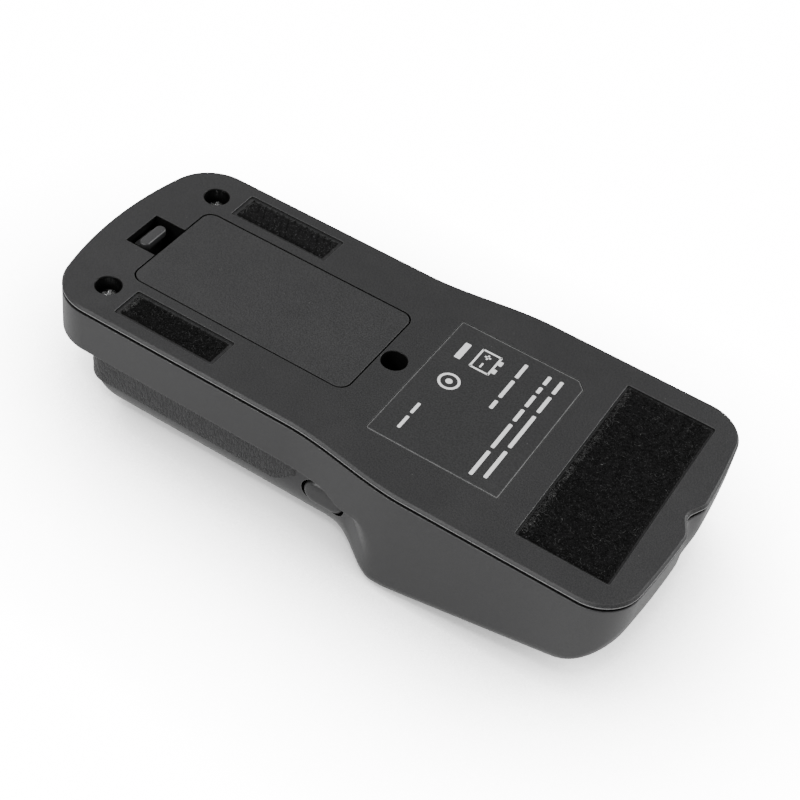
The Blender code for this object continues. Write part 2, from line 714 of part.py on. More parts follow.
def build_housing(body, display, side):
    housing = housing_shell(body)
    for name, x, y, seat, _ in screw_places():
        top = seat - SCREW_SEAT - GAP
        bottom = SKIRT_FLOOR - FRONT_WALL / 2 if name != "housing_screw_centre" else FRONT_WALL / 2
        add(housing, rod(name + "_boss", SCREW_BOSS, bottom, top, (x, y), body))
        bore = SCREW_SHANK + 2 * GAP
        cut(housing, rod(name + "_bore", bore, bottom + 2 * MM, top + MM, (x, y), body))
    for index, (x, y) in enumerate(SENSOR_POSTS):
        bottom = front_level(x) + FRONT_WALL / 2
        top = SENSOR_BOTTOM - GAP
        add(housing, rod(f"sensor_post_{index}", BOARD_POST, bottom, top, (x, y), body))
        bore = BOARD_SCREW_SHANK + 2 * GAP
        cut(housing, rod(f"sensor_bore_{index}", bore, top - 9 * MM, top + MM, (x, y), body, None, 16))
    for hand in (1, -1):
        inner = LENGTH / 2 - SHELL_WALL - END_WALL_EXTRA
        low = hand * TONGUE[0] if hand > 0 else -TONGUE[1]
        high = hand * TONGUE[1] if hand > 0 else -TONGUE[0]
        top = BACK - LIP_HEIGHT - GAP
        cut(housing, block(
            f"tongue_slot_{hand + 1}",
            (inner - 4 * MM, low - GAP * 2, top - TONGUE[2] - GAP),
            (inner + TONGUE_REACH - MM, high + GAP * 2, top + GAP),
            body,
        ))
    cut(housing, sleeve_solid("sleeve_recess", body, GAP))
    window = (WINDOW[0] + 2 * GAP, WINDOW[1] + 2 * GAP)
    through = (WINDOW[0] - 2 * WINDOW_LEDGE, WINDOW[1] - 2 * WINDOW_LEDGE)
    seat = 2 * GAP + WINDOW[2]
    place = (WINDOW_SHIFT, 0)
    cut(housing, plate("window_seat", window, 3 * MM, -MM, seat, body, place, display))
    cut(housing, plate("window_opening", through, 2 * MM, -MM, 2 * FRONT_WALL, body, place, display))
    for hand in (1, -1):
        place = (DISPLAY_SCREW_X, hand * DISPLAY_SCREW_Y)
        top = DISPLAY_LEVEL - GAP
        name = f"display_boss_{hand + 1}"
        add(housing, rod(name, 5 * MM, FRONT_WALL / 2, top, place, body, display))
        bore = BOARD_SCREW_SHANK + 2 * GAP
        cut(housing, rod(name + "_bore", bore, 1.4 * FRONT_WALL, top + MM, place, body, display, 16))
        place = (MODE_BUTTON_SHIFT, hand * SIGNAL_LIGHT_Y)
        hole = SIGNAL_LIGHT + 2 * GAP
        name = f"signal_hole_{hand + 1}"
        cut(housing, rod(name, hole, -MM, 2 * FRONT_WALL, place, body, display, 16))
    hole = MODE_BUTTON + 2 * BUTTON_GAP
    place = (MODE_BUTTON_SHIFT, 0)
    cut(housing, rod("mode_hole", hole, -2 * MM, 2 * FRONT_WALL, place, body, display, 32))
    flange = MODE_BUTTON + 2 * FLANGE_REACH + 2 * GAP
    room = FRONT_WALL + 2 * FLANGE
    cut(housing, rod("mode_flange_room", flange, FRONT_WALL, room, place, body, display, 40))
    hole = (SCAN_BUTTON[0] + 2 * BUTTON_GAP, SCAN_BUTTON[1] + 2 * BUTTON_GAP)
    through = SCAN_WALL - SCAN_INSIDE + 2 * MM
    cut(housing, plate("scan_hole", hole, hole[1] / 2 - 1e-5, -3 * MM, through, body, (0, 0), side))
    return housing


def build_cover(body):
    cover = cover_plate(body)
    seat = (DOOR_LENGTH + 4 * MM, DOOR_WIDTH + 4 * MM)
    place = (DOOR_CENTRE, 0)
    lower = BACK - COVER_THICKNESS / 2
    add(cover, plate("door_surround", seat, DOOR_CORNER + 2 * MM, SEAT_DEPTH, lower, body, place))
    add(cover, block(
        "well_outside",
        (WELL_START - WELL_WALL, -WELL_HALF_WIDTH - WELL_WALL, WELL_BOTTOM - WELL_FLOOR),
        (WELL_END + WELL_WALL, WELL_HALF_WIDTH + WELL_WALL, SEAT_DEPTH + MM),
        body,
    ))
    side = LATCH_WINDOW[1] / 2
    add(cover, block(
        "latch_pocket_outside",
        (LATCH_START - 4 * MM, -side - WELL_WALL, LATCH_FLOOR - WELL_FLOOR),
        (WELL_START, side + WELL_WALL, lower),
        body,
    ))
    for name, x, y, seat_level, _ in screw_places():
        bottom = seat_level - SCREW_SEAT
        add(cover, rod(name + "_tube", SCREW_TUBE, bottom, lower, (x, y), body, None, 32))
    for hand in (1, -1):
        inner = LENGTH / 2 - SHELL_WALL - END_WALL_EXTRA - GAP
        low = hand * TONGUE[0] if hand > 0 else -TONGUE[1]
        high = hand * TONGUE[1] if hand > 0 else -TONGUE[0]
        top = BACK - LIP_HEIGHT
        root_start = inner - LIP_WALL - 1.4 * MM
        add(cover, block(
            f"tongue_root_{hand + 1}",
            (root_start, low, top - TONGUE[2]),
            (inner - 1.2 * MM, high, lower),
            body,
        ))
        add(cover, block(
            f"tongue_{hand + 1}",
            (inner - 2 * MM, low + GAP, top - TONGUE[2] + GAP),
            (inner + TONGUE_REACH - 1.4 * MM, high - GAP, top - GAP * 2),
            body,
        ))
    cut_cover(cover, body, place, side)
    return cover


def cut_cover(cover, body, place, side):
    """Openings and recesses of the cover."""
    opening = (DOOR_LENGTH + 2 * DOOR_GAP, DOOR_WIDTH + 2 * DOOR_GAP)
    corner = DOOR_CORNER + DOOR_GAP
    cut(cover, plate("door_opening", opening, corner, DOOR_SEAT, BACK + MM, body, place))
    cut(cover, block(
        "well_inside",
        (WELL_START, -WELL_HALF_WIDTH, WELL_BOTTOM),
        (WELL_END, WELL_HALF_WIDTH, BACK + MM),
        body,
    ))
    cut(cover, block(
        "latch_window",
        (LATCH_START, -side, LATCH_FLOOR),
        (DOOR_START, side, BACK + MM),
        body,
    ))
    cut(cover, block(
        "latch_catch",
        (LATCH_START - 2.4 * MM, -side, LATCH_FLOOR),
        (LATCH_START + MM, side, BACK - COVER_THICKNESS),
        body,
    ))
    cut(cover, block(
        "latch_pocket_link",
        (DOOR_START - MM, -LATCH_WIDTH / 2 - GAP, LATCH_FLOOR),
        (WELL_START + MM, LATCH_WIDTH / 2 + GAP, DOOR_SEAT + MM),
        body,
    ))
    tab_width, tab_reach, tab_thickness = DOOR_TAB
    for hand in (1, -1):
        centre = hand * DOOR_TAB_PLACE
        cut(cover, block(
            f"tab_slot_{hand + 1}",
            (WELL_END - MM, centre - tab_width / 2 - GAP, BACK - TAB_SLOT_DEPTH - MM),
            (DOOR_END + tab_reach + 2 * GAP, centre + tab_width / 2 + GAP, BACK - COVER_THICKNESS),
            body,
        ))
        cut(cover, block(
            f"tab_path_{hand + 1}",
            (WELL_END - MM, centre - tab_width / 2 - GAP, BACK - TAB_SLOT_DEPTH),
            (DOOR_END, centre + tab_width / 2 + GAP, DOOR_SEAT + MM),
            body,
        ))
    for name, x, y, seat_level, _ in screw_places():
        cut(cover, rod(name + "_counterbore", COUNTERBORE, seat_level, BACK + MM, (x, y), body, None, 32))
        clear = SCREW_SHANK + 2 * GAP
        low, high = seat_level - 2 * SCREW_SEAT, seat_level + MM
        cut(cover, rod(name + "_clearance", clear, low, high, (x, y), body))
    cut_recess(cover, "head_pad_recess", HEAD_PAD, 0.0, PAD_RECESS, body)
    for hand in (1, -1):
        cut_recess(cover, f"side_pad_recess_{hand + 1}", SIDE_PAD, hand * SIDE_PAD_PLACE, PAD_RECESS, body)
    label = label_shape(GAP, BACK - LABEL_RECESS, BACK + MM)
    cut(cover, finish_mesh("label_recess", label, body))
    cut(cover, block(
        "lead_slot",
        (WELL_END - MM, 4.5 * MM, WELL_BOTTOM + MM),
        (WELL_END + WELL_WALL + MM, 11.5 * MM, WELL_BOTTOM + 5 * MM),
        body,
    ))


def cut_recess(cover, name, recess, y, depth, body):
    length, width, x = recess
    cut(cover, plate(name, (length, width), 0.6 * MM, BACK - depth, BACK + MM, body, (x, y)))


def label_shape(grow, bottom, top):
    """Label outline with its one clipped corner."""
    length, width, x = LABEL
    far_x = x + length / 2 + grow
    near_x = x - length / 2 - grow
    side = width / 2 + grow
    points = [(near_x, -side), (far_x, -side), (far_x, side - LABEL_CORNER)]
    points += [(far_x - LABEL_CORNER, side), (near_x, side)]
    return prism(points, bottom, top)


# ---- Battery bay --------------------------------------------------------------------
def build_door(body, foam):
    """Door with its two tabs; its origin is on the line that it swings about."""
    pivot = bpy.data.objects.new("door_pivot", None)
    pivot.hide_render = True
    bpy.context.scene.collection.objects.link(pivot)
    pivot.location = (DOOR_END, 0.0, BACK)
    panel = prism(
        rounded_rectangle(DOOR_LENGTH, DOOR_WIDTH, DOOR_CORNER), -DOOR_THICKNESS, 0.0, 0.25 * MM)
    bmesh.ops.translate(panel, verts=panel.verts, vec=(-DOOR_LENGTH / 2, 0, 0))
    door = finish_mesh("battery_door", panel, body, pivot)
    width, reach, thickness = DOOR_TAB
    top = -COVER_THICKNESS - GAP
    for hand in (1, -1):
        low = hand * DOOR_TAB_PLACE - width / 2
        high = hand * DOOR_TAB_PLACE + width / 2
        add(door, block(
            f"door_tab_{hand + 1}",
            (-1.6 * MM, low, top - thickness), (reach, high, top), body, pivot))
        add(door, block(
            f"door_tab_root_{hand + 1}",
            (-1.5 * MM, low + 0.1 * MM, top - thickness / 2),
            (-0.3 * MM, high - 0.1 * MM, -DOOR_THICKNESS / 2), body, pivot))
    start = WELL_START - DOOR_END + 4 * MM
    length = BATTERY[0] - 10 * MM
    width = BATTERY[1] - 6 * MM
    top = -DOOR_THICKNESS - GAP
    plate(
        "door_foam", (length, width), 1 * MM, top - FOAM_THICKNESS, top, foam,
        (start + length / 2, 0), pivot)
    return door


def build_latch(body):
    """Sprung U-shaped tongue with its finger rib and catch, turning about its bend."""
    leg_near = DOOR_START - 1.0 * MM
    bend = LATCH_FLOOR + 1.0 * MM
    leg_far = LATCH_START + LATCH_LEG_PLACE
    pivot = bpy.data.objects.new("latch_pivot", None)
    pivot.hide_render = True
    bpy.context.scene.collection.objects.link(pivot)
    pivot.location = (leg_near, 0.0, bend)
    top = BACK - 0.4 * MM - bend
    half = LATCH_WIDTH / 2
    reach = leg_far - leg_near
    latch = block("door_latch", (reach, -half, 0.0), (reach + LATCH_LEG, half, top - MM), body, pivot)
    add(latch, block(
        "latch_bend", (reach, -half, -0.2 * MM), (0.6 * MM, half, LATCH_LEG - 0.2 * MM), body, pivot))
    near_top = DOOR_BOTTOM - GAP - 0.3 * MM - bend
    add(latch, block("latch_near_leg", (-0.5 * MM, -half, 0.1 * MM), (0.6 * MM, half, near_top), body, pivot))
    rib_corner = LATCH_RIB / 2 - 0.05 * MM
    rib = prism(
        rounded_rectangle(LATCH_RIB, LATCH_WIDTH, rib_corner), top - 2.4 * MM, top, 0.4 * MM)
    bmesh.ops.translate(rib, verts=rib.verts, vec=(reach + LATCH_LEG, 0, 0))
    add(latch, finish_mesh("latch_rib", rib, body, pivot))
    catch_top = BACK - COVER_THICKNESS - GAP - bend
    add(latch, block(
        "latch_hook",
        (reach - LATCH_LEG_PLACE + LATCH_HOOK_CLEARANCE, -half + MM, catch_top - 1.3 * MM),
        (reach + 0.5 * MM, half - MM, catch_top), body, pivot))
    return latch


def build_battery(can, steel, cap, red, black):
    length, width, height = BATTERY
    shape = prism(rounded_rectangle(height, width, 2.2 * MM), BATTERY_START, BATTERY_END)
    turn = Matrix.Rotation(math.pi / 2, 3, "Y")
    bmesh.ops.rotate(shape, verts=shape.verts, cent=(0, 0, 0), matrix=turn)
    middle = (BATTERY_TOP + BATTERY_BOTTOM) / 2
    bmesh.ops.translate(shape, verts=shape.verts, vec=(0, 0, middle))
    finish_mesh("battery_case", shape, can, smooth_angle=math.radians(35))
    pitch = 12.7 * MM
    face = bpy.data.objects.new("battery_face", None)
    face.hide_render = True
    bpy.context.scene.collection.objects.link(face)
    face.location = (BATTERY_END, 0.0, middle)
    face.rotation_euler = (0.0, math.pi / 2, 0.0)
    rod("battery_terminal_positive", 5.6 * MM, GAP, 3.0 * MM, (0, pitch / 2), steel, face)
    rod("battery_terminal_negative", 7.6 * MM, GAP, 2.8 * MM, (0, -pitch / 2), steel, face)
    shape = prism(rounded_rectangle(11 * MM, 24 * MM, 3 * MM), GAP, 4.6 * MM, 0.5 * MM)
    connector = finish_mesh("snap_connector", shape, cap, face)
    for name, size, place in (("positive", 5.6 * MM, pitch / 2), ("negative", 7.6 * MM, -pitch / 2)):
        socket = size + 2 * GAP
        cut(connector, rod(f"snap_{name}_socket", socket, -MM, 3.4 * MM, (0, place), cap, face))
    start = Vector((BATTERY_END + 4.6 * MM + GAP, 0, middle))
    for name, material, y in (("lead_positive", red, 7.0 * MM), ("lead_negative", black, 9.4 * MM)):
        lead(name, lead_route(start, y), material)


def lead_route(start, y):
    """Centre line of a lead: connector, slot in the bay's wall, then the sensor board."""
    low = WELL_BOTTOM + 3 * MM
    wall = WELL_END + WELL_WALL
    board = SENSOR_BOARD[0] + 3.5 * MM
    return (
        (start.x + 0.7 * MM, y * 0.8, start.z),
        (start.x + 0.9 * MM, y * 0.85, (start.z * 2 + low) / 3),
        (WELL_END - 1.2 * MM, y, low + 0.6 * MM),
        (WELL_END + 1.0 * MM, y, low),
        (wall + 6 * MM, y + 2 * MM, low - MM),
        (board - 9 * MM, y + 4 * MM, low + 3 * MM),
        (board - 2 * MM, y + 4.5 * MM, SENSOR_BOTTOM - 5 * MM),
        (board, y + 4.5 * MM, SENSOR_BOTTOM - GAP),
    )


def smooth_path(points, steps):
    """Points on a Catmull-Rom curve through the route's points."""
    route = [Vector(point) for point in points]
    route = [route[0] * 2 - route[1]] + route + [route[-1] * 2 - route[-2]]
    path = []
    for index in range(1, len(route) - 2):
        a, b, c, d = route[index - 1:index + 3]
        for step in range(steps):
            t = step / steps
            path.append(0.5 * (
                2 * b + (c - a) * t + (2 * a - 5 * b + 4 * c - d) * t ** 2
                + (3 * b - a - 3 * c + d) * t ** 3))
    path.append(route[-2])
    return path


def lead(name, points, material, diameter=1.3 * MM):
    """Insulated wire along a smooth route."""
    curve = bpy.data.curves.new(name, "CURVE")
    curve.dimensions = "3D"
    curve.bevel_depth = diameter / 2
    curve.bevel_resolution = 2
    curve.use_fill_caps = True
    path = smooth_path(points, 3)
    spline = curve.splines.new("POLY")
    spline.points.add(len(path) - 1)
    for slot, point in zip(spline.points, path):
        slot.co = (*point, 1.0)
    curve.materials.append(material)
    item = bpy.data.objects.new(name, curve)
    bpy.context.scene.collection.objects.link(item)
    return item


# ---- Electronics ----------------------------------------------------------------------
def small_screw(name, place, seat, steel, parent=None, length=7 * MM):
    """Pan-head screw whose head stands on its seat."""
    head, height = BOARD_SCREW_HEAD
    shank = BOARD_SCREW_SHANK / 2
    profile = (
        (shank, seat - length),
        (shank, seat),
        (head / 2, seat),
        (head / 2, seat + height * 0.6),
        (head * 0.3, seat + height),
    )
    return turned(name, profile, (*place, 0), steel, parent, 16)


def build_sensor_board(board, copper, chip, sleeve, tin, steel, cap):
    start, end, width = SENSOR_BOARD
    middle = (start + end) / 2
    panel = plate(
        "sensor_board", (end - start, width), 2 * MM, SENSOR_BOTTOM, SENSOR_TOP, board, (middle, 0))
    hole = BOARD_SCREW_SHANK + 2 * GAP
    for index, place in enumerate(SENSOR_POSTS):
        tool = rod(
            f"board_hole_{index}", hole, SENSOR_BOTTOM - MM, SENSOR_TOP + MM, place, board, None, 16)
        cut(panel, tool)
        small_screw(f"sensor_board_screw_{index + 1}", place, SENSOR_TOP + GAP, steel)
    length, across, thick = SENSOR_PLATE
    bottom = SENSOR_TOP + GAP
    for name, y in (("left", -SENSOR_PLATE_PITCH), ("centre", 0.0), ("right", SENSOR_PLATE_PITCH)):
        plate(
            f"sensor_plate_{name}", (length, across), 1 * MM, bottom, bottom + thick, copper,
            (middle, y))
    under = SENSOR_BOTTOM - GAP
    for name, size, height, x, y in (
        ("microcontroller", (10 * MM, 10 * MM), 1.6 * MM, 46 * MM, -6 * MM),
        ("sensor_amplifier", (9 * MM, 4 * MM), 1.5 * MM, 46 * MM, 12 * MM),
        ("voltage_regulator", (4.5 * MM, 3.5 * MM), 1.6 * MM, 36 * MM, 22 * MM),
    ):
        plate(name, size, 0.4 * MM, under - height, under, chip, (x, y))
    rod("filter_capacitor", 6.3 * MM, under - 7 * MM, under, (36 * MM, 2 * MM), sleeve)
    rod("piezo_buzzer", 12 * MM, under - 6 * MM, under, (40 * MM, -22 * MM), chip, None, 32)
    plate(
        "quartz_crystal", (10.5 * MM, 4.2 * MM), 2 * MM, under - 3.4 * MM, under, tin,
        (60 * MM, -8 * MM))
    plate(
        "flex_connector", (4 * MM, FLEX_WIDTH + 2 * MM), 0.5 * MM, under - FLEX_CONNECTOR_HEIGHT,
        under, cap, (FLEX_X, FLEX_Y))


def build_display(display, materials):
    """Window, liquid-crystal glass, frame, backlight and board, in the display's frame."""
    place = (WINDOW_SHIFT, 0)
    bottom = GAP
    plate(
        "display_window", WINDOW[:2], 2.7 * MM, bottom, bottom + WINDOW[2], materials["window"],
        place, display)
    glass = FRONT_WALL + GAP
    glass_top = glass + LCD[2]
    plate("lcd_glass", LCD[:2], 0.5 * MM, glass, glass_top, materials["glass"], place, display)
    inside = (LCD[0] + 2 * GAP, LCD[1] + 2 * GAP)
    outside = (inside[0] + 2 * LCD_FRAME_WALL, inside[1] + 2 * LCD_FRAME_WALL)
    frame_top = glass + LCD_FRAME_DEPTH
    frame = plate("lcd_frame", outside, 1.5 * MM, glass, frame_top, materials["frame"], place, display)
    cut(frame, plate(
        "lcd_frame_opening", inside, 0.7 * MM, glass - MM, frame_top + MM, materials["frame"],
        place, display))
    light = glass_top + GAP
    shift = 2.5 * MM
    plate(
        "backlight_panel", BACKLIGHT[:2], 0.5 * MM, light, light + BACKLIGHT[2],
        materials["diffuser"], (WINDOW_SHIFT + shift, 0), display)
    strip_place = WINDOW_SHIFT - LCD[0] / 2 + CONTACT_STRIP[0]
    plate(
        "contact_strip", CONTACT_STRIP[:2], 0.3 * MM, light, light + CONTACT_STRIP[2],
        materials["rubber"], (strip_place, 0), display)
    board = DISPLAY_LEVEL
    board_top = board + BOARD_THICKNESS
    panel = plate(
        "display_board", DISPLAY_BOARD, 1.5 * MM, board, board_top, materials["board"],
        (DISPLAY_BOARD_SHIFT, 0), display)
    hole = BOARD_SCREW_SHANK + 2 * GAP
    for index, y in enumerate((DISPLAY_SCREW_Y, -DISPLAY_SCREW_Y)):
        spot = (DISPLAY_SCREW_X, y)
        tool = rod(
            f"display_hole_{index}", hole, board - MM, board_top + MM, spot, materials["board"],
            display, 16)
        cut(panel, tool)
        small_screw(
            f"display_board_screw_{index + 1}", spot, board_top + GAP, materials["steel"], display,
            5 * MM)
    plate(
        "display_driver", (8 * MM, 8 * MM), 0.4 * MM, board_top + GAP, board_top + GAP + 1.4 * MM,
        materials["chip"], (4 * MM, -8 * MM), display)
    for name, y in (("right", SIGNAL_LIGHT_Y), ("left", -SIGNAL_LIGHT_Y)):
        rod(
            f"signal_light_{name}", SIGNAL_LIGHT, GAP, board - GAP, (MODE_BUTTON_SHIFT, y),
            materials["lens"], display, 16)
    build_flex_cable(materials["flex"])


def build_flex_cable(material):
    """Flat ribbon that bows from the display board up to the sensor board's connector."""
    level = front_level(DISPLAY_X)
    lean = DISPLAY_SLOPE
    out = DISPLAY_LEVEL + BOARD_THICKNESS + GAP
    along = FLEX_START
    start = Vector((
        DISPLAY_X + along * math.cos(lean) - out * math.sin(lean), 0.0,
        level + along * math.sin(lean) + out * math.cos(lean)))
    end = Vector((FLEX_X, 0.0, SENSOR_BOTTOM - 2 * GAP - FLEX_CONNECTOR_HEIGHT))
    bow = Vector((2.5 * MM, 0.0, 0.0))
    path = smooth_path((start, (start * 2 + end) / 3 - bow, (start + end * 2) / 3 + bow, end), 4)
    thick = Vector((FLEX_THICKNESS / 2, 0.0, 0.0))
    outline = [point - thick for point in path] + [point + thick for point in reversed(path)]
    half = Vector((0.0, FLEX_WIDTH / 2, 0.0))
    middle = Vector((0.0, FLEX_Y, 0.0))
    shape = loft([
        [point + middle - half for point in outline],
        [point + middle + half for point in outline],
    ])
    finish_mesh("flex_cable", shape, material)


def build_mode_button(display, materials):
    """Button on the display slope, the switch plunger that it presses, and its switch."""
    pivot = bpy.data.objects.new("mode_button_frame", None)
    pivot.hide_render = True
    bpy.context.scene.collection.objects.link(pivot)
    pivot.parent = display
    pivot.location = (MODE_BUTTON_SHIFT, 0.0, 0.0)
    flange = FRONT_WALL + GAP
    radius = MODE_BUTTON / 2
    profile = (
        (radius - 0.6 * MM, 0.35 * MM),
        (radius, 0.75 * MM),
        (radius, flange),
        (radius + FLANGE_REACH, flange),
        (radius + FLANGE_REACH, flange + FLANGE),
    )
    turned("mode_button", profile, (0, 0, 0), materials["key"], pivot, 40)
    press = flange + FLANGE + GAP
    switch_top = DISPLAY_LEVEL - GAP
    body_height = switch_top - press - MODE_TRAVEL - GAP
    switch = plate(
        "mode_switch", SWITCH_BODY[:2], 0.3 * MM, switch_top - body_height, switch_top,
        materials["chip"], (0, 0), pivot)
    clear = PLUNGER + 2 * GAP
    cut(switch, rod(
        "mode_switch_bore", clear, switch_top - body_height - MM, switch_top - 0.5 * MM, (0, 0),
        materials["chip"], pivot))
    rod(
        "mode_plunger", PLUNGER, press, switch_top - 0.5 * MM - GAP - MODE_TRAVEL, (0, 0),
        materials["plunger"], pivot)


def build_scan_button(side, materials):
    """Side button, its plunger, and the upright switch board behind it."""
    length, height = SCAN_BUTTON
    inside = SCAN_WALL - SCAN_INSIDE
    cap = prism(
        rounded_rectangle(length, height, height / 2 - 1e-5, 7), -inside, SCAN_BUTTON_PROUD,
        0.5 * MM)
    bmesh.ops.rotate(
        cap, verts=cap.verts, cent=(0, 0, 0), matrix=Matrix.Rotation(math.pi, 3, "X"))
    button = finish_mesh("scan_button", cap, materials["key"], side)
    flange = inside + GAP + 1.4 * MM
    reach = (length + 2 * FLANGE_REACH, height + 2 * FLANGE_REACH)
    add(button, plate(
        "scan_flange", reach, reach[1] / 2 - 1e-5, flange, flange + FLANGE, materials["key"],
        (0, 0), side))
    add(button, plate(
        "scan_core", (length - 2 * MM, height - 2 * MM), 1 * MM, inside - MM, flange + FLANGE / 2,
        materials["key"], (0, 0), side))
    press = flange + FLANGE + GAP
    body = press + SCAN_TRAVEL + GAP
    depth = SWITCH_BODY[2] + MM
    switch = plate(
        "scan_switch", SWITCH_BODY[:2], 0.3 * MM, body, body + depth, materials["chip"], (0, 0), side)
    cut(switch, rod(
        "scan_switch_bore", PLUNGER + 2 * GAP, body - MM, body + depth - 0.5 * MM, (0, 0),
        materials["chip"], side))
    rod(
        "scan_plunger", PLUNGER, press, body + depth - 0.5 * MM - GAP - SCAN_TRAVEL, (0, 0),
        materials["plunger"], side)
    bottom = body + depth + GAP
    plate(
        "scan_switch_board", SCAN_BOARD, 0.8 * MM, bottom, bottom + 1.2 * MM, materials["board"],
        (0, 0), side)


# ---- Fasteners, label and pads -----------------------------------------------------------
def build_screws(steel):
    head, height = SCREW_HEAD
    for name, x, y, seat, length_below in screw_places():
        bottom = seat + GAP
        tip = seat - length_below
        shank = SCREW_SHANK / 2
        profile = (
            (shank * 0.4, tip),
            (shank, tip + 1.2 * MM),
            (shank, bottom),
            (head / 2, bottom),
            (head / 2, bottom + height * 0.55),
            (head / 2 - 0.7 * MM, bottom + height),
        )
        screw = turned(name, profile, (x, y, 0), steel)
        for turn in (0, 1):
            slot = (3.2 * MM, 0.8 * MM)
            size = slot if turn == 0 else (slot[1], slot[0])
            cut(screw, plate(
                f"{name}_slot_{turn}", size, 0.1 * MM, bottom + height * 0.4,
                bottom + height + MM, steel, (x, y)))


def build_label(material):
    bottom = BACK - LABEL_RECESS + GAP
    finish_mesh("back_label", label_shape(0.0, bottom, bottom + LABEL_THICKNESS), material)


def build_pads(felt):
    bottom = BACK - PAD_RECESS + GAP
    top = bottom + PAD_THICKNESS
    for name, recess, y, margin in (
        ("head_pad", HEAD_PAD, 0.0, HEAD_PAD_MARGIN),
        ("side_pad_right", SIDE_PAD, SIDE_PAD_PLACE, SIDE_PAD_MARGIN),
        ("side_pad_left", SIDE_PAD, -SIDE_PAD_PLACE, SIDE_PAD_MARGIN),
    ):
        length, width, x = recess
        size = (length - 2 * margin, width - 2 * margin)
        plate(name, size, 1.5 * MM, bottom, top, felt, (x, y), None, 0.3 * MM)


def main():
    clear_scene()
    body = make_material("black_plastic", (0.045, 0.045, 0.047), 0.5)
    cover = make_material("cover_plastic", (0.04, 0.04, 0.042), 0.62)
    key = make_material("button_rubber", (0.03, 0.03, 0.032), 0.7)
    rubber = make_material("grip_rubber", (0.028, 0.028, 0.03), 0.78)
    felt = make_material("loop_felt", (0.008, 0.008, 0.009), 0.95)
    label = make_material("label_film", (0.04, 0.04, 0.042), 0.45)
    steel = make_material("screw_steel", (0.62, 0.62, 0.62), 0.28, 1.0)
    tin = make_material("crystal_can", (0.7, 0.7, 0.7), 0.3, 1.0)
    copper = make_material("sensor_copper", (0.72, 0.36, 0.18), 0.35, 1.0)
    board = make_material("circuit_board", (0.02, 0.12, 0.05), 0.45)
    chip = make_material("chip_epoxy", (0.02, 0.02, 0.02), 0.55)
    battery = make_material("battery_jacket", (0.05, 0.06, 0.07), 0.35)
    sleeve = make_material("capacitor_sleeve", (0.02, 0.03, 0.12), 0.4)
    foam = make_material("door_foam", (0.06, 0.06, 0.065), 0.95)
    red = make_material("lead_red", (0.5, 0.02, 0.02), 0.45)
    black = make_material("lead_black", (0.02, 0.02, 0.02), 0.45)
    display_materials = {
        "window": make_material("window_acrylic", (0.02, 0.025, 0.03), 0.08),
        "glass": make_material("lcd_glass", (0.32, 0.38, 0.3), 0.12),
        "frame": make_material("lcd_frame", (0.75, 0.75, 0.72), 0.5),
        "diffuser": make_material("backlight_diffuser", (0.8, 0.82, 0.8), 0.4),
        "rubber": make_material("contact_rubber", (0.35, 0.35, 0.37), 0.7),
        "lens": make_material("signal_lens", (0.6, 0.08, 0.05), 0.2),
        "plunger": make_material("plunger_nylon", (0.5, 0.5, 0.48), 0.5),
        "flex": make_material("flex_film", (0.45, 0.22, 0.04), 0.35),
        "board": board,
        "chip": chip,
        "steel": steel,
        "key": key,
    }
    display = display_frame()
    side = scan_frame()
    build_housing(body, display, side)
    build_cover(cover)
    sleeve_solid("grip_sleeve", rubber)
    build_door(cover, foam)
    build_latch(cover)
    build_battery(battery, steel, key, red, black)
    build_sensor_board(board, copper, chip, sleeve, tin, steel, key)
    build_display(display, display_materials)
    build_mode_button(display, display_materials)
    build_scan_button(side, display_materials)
    build_screws(steel)
    build_label(label)
    build_pads(felt)


main()
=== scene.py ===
"""Finished look of a handheld stud finder that lies on its front with its back facing up.

The frame has +X from the handle end to the sensing head, +Y to the user's right hand and
+Z out of the flat back, with lengths in metres. Each sub-assembly is a class: its fields
are its sizes, and its methods build its meshes and dress them.
"""

import logging
import math
import random
from dataclasses import dataclass, field
from enum import Enum
from typing import Callable, Sequence

import bmesh
import bpy
from mathutils import Matrix, Vector, noise

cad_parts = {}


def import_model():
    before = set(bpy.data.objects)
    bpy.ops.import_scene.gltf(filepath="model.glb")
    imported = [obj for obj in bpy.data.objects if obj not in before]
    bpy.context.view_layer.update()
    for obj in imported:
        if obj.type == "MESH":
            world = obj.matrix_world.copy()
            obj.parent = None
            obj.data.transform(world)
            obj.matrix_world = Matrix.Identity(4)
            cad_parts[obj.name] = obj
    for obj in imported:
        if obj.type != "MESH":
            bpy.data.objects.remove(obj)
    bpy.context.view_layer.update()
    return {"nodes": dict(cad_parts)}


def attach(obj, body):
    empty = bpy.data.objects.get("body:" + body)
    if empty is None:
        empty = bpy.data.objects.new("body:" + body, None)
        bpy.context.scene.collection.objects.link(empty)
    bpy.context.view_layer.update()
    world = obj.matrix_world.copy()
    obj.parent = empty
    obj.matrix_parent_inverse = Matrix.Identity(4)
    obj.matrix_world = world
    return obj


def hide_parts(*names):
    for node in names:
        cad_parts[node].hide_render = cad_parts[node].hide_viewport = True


MM = 0.001
GAP = 0.3 * MM
LENGTH = 170 * MM
BACK = 36 * MM
SLOPE = math.radians(12.1)
WELD = 5e-7
SLIVER = 0.001 * MM
LOG = logging.getLogger("stud_finder")
Points = Sequence[Vector]
Plan = Sequence[tuple[float, float]]


class Body(Enum):
    """The bodies that pieces ride on."""

    ROOT = "root"
    DOOR = "battery_door"
    LATCH = "door_latch"
    SCAN = "scan_button"
    MODE = "mode_button"


# ---- Small calculations --------------------------------------------------------------------------
def ease(value: float, start: float, end: float) -> float:
    """Smooth step.

    Args:
        value: Where along the step.
        start: Where the result is still 0.
        end: Where the result has reached 1.

    Returns:
        A share from 0 to 1.
    """
    share = min(max((value - start) / (end - start), 0.0), 1.0)
    return share * share * (3 - 2 * share)


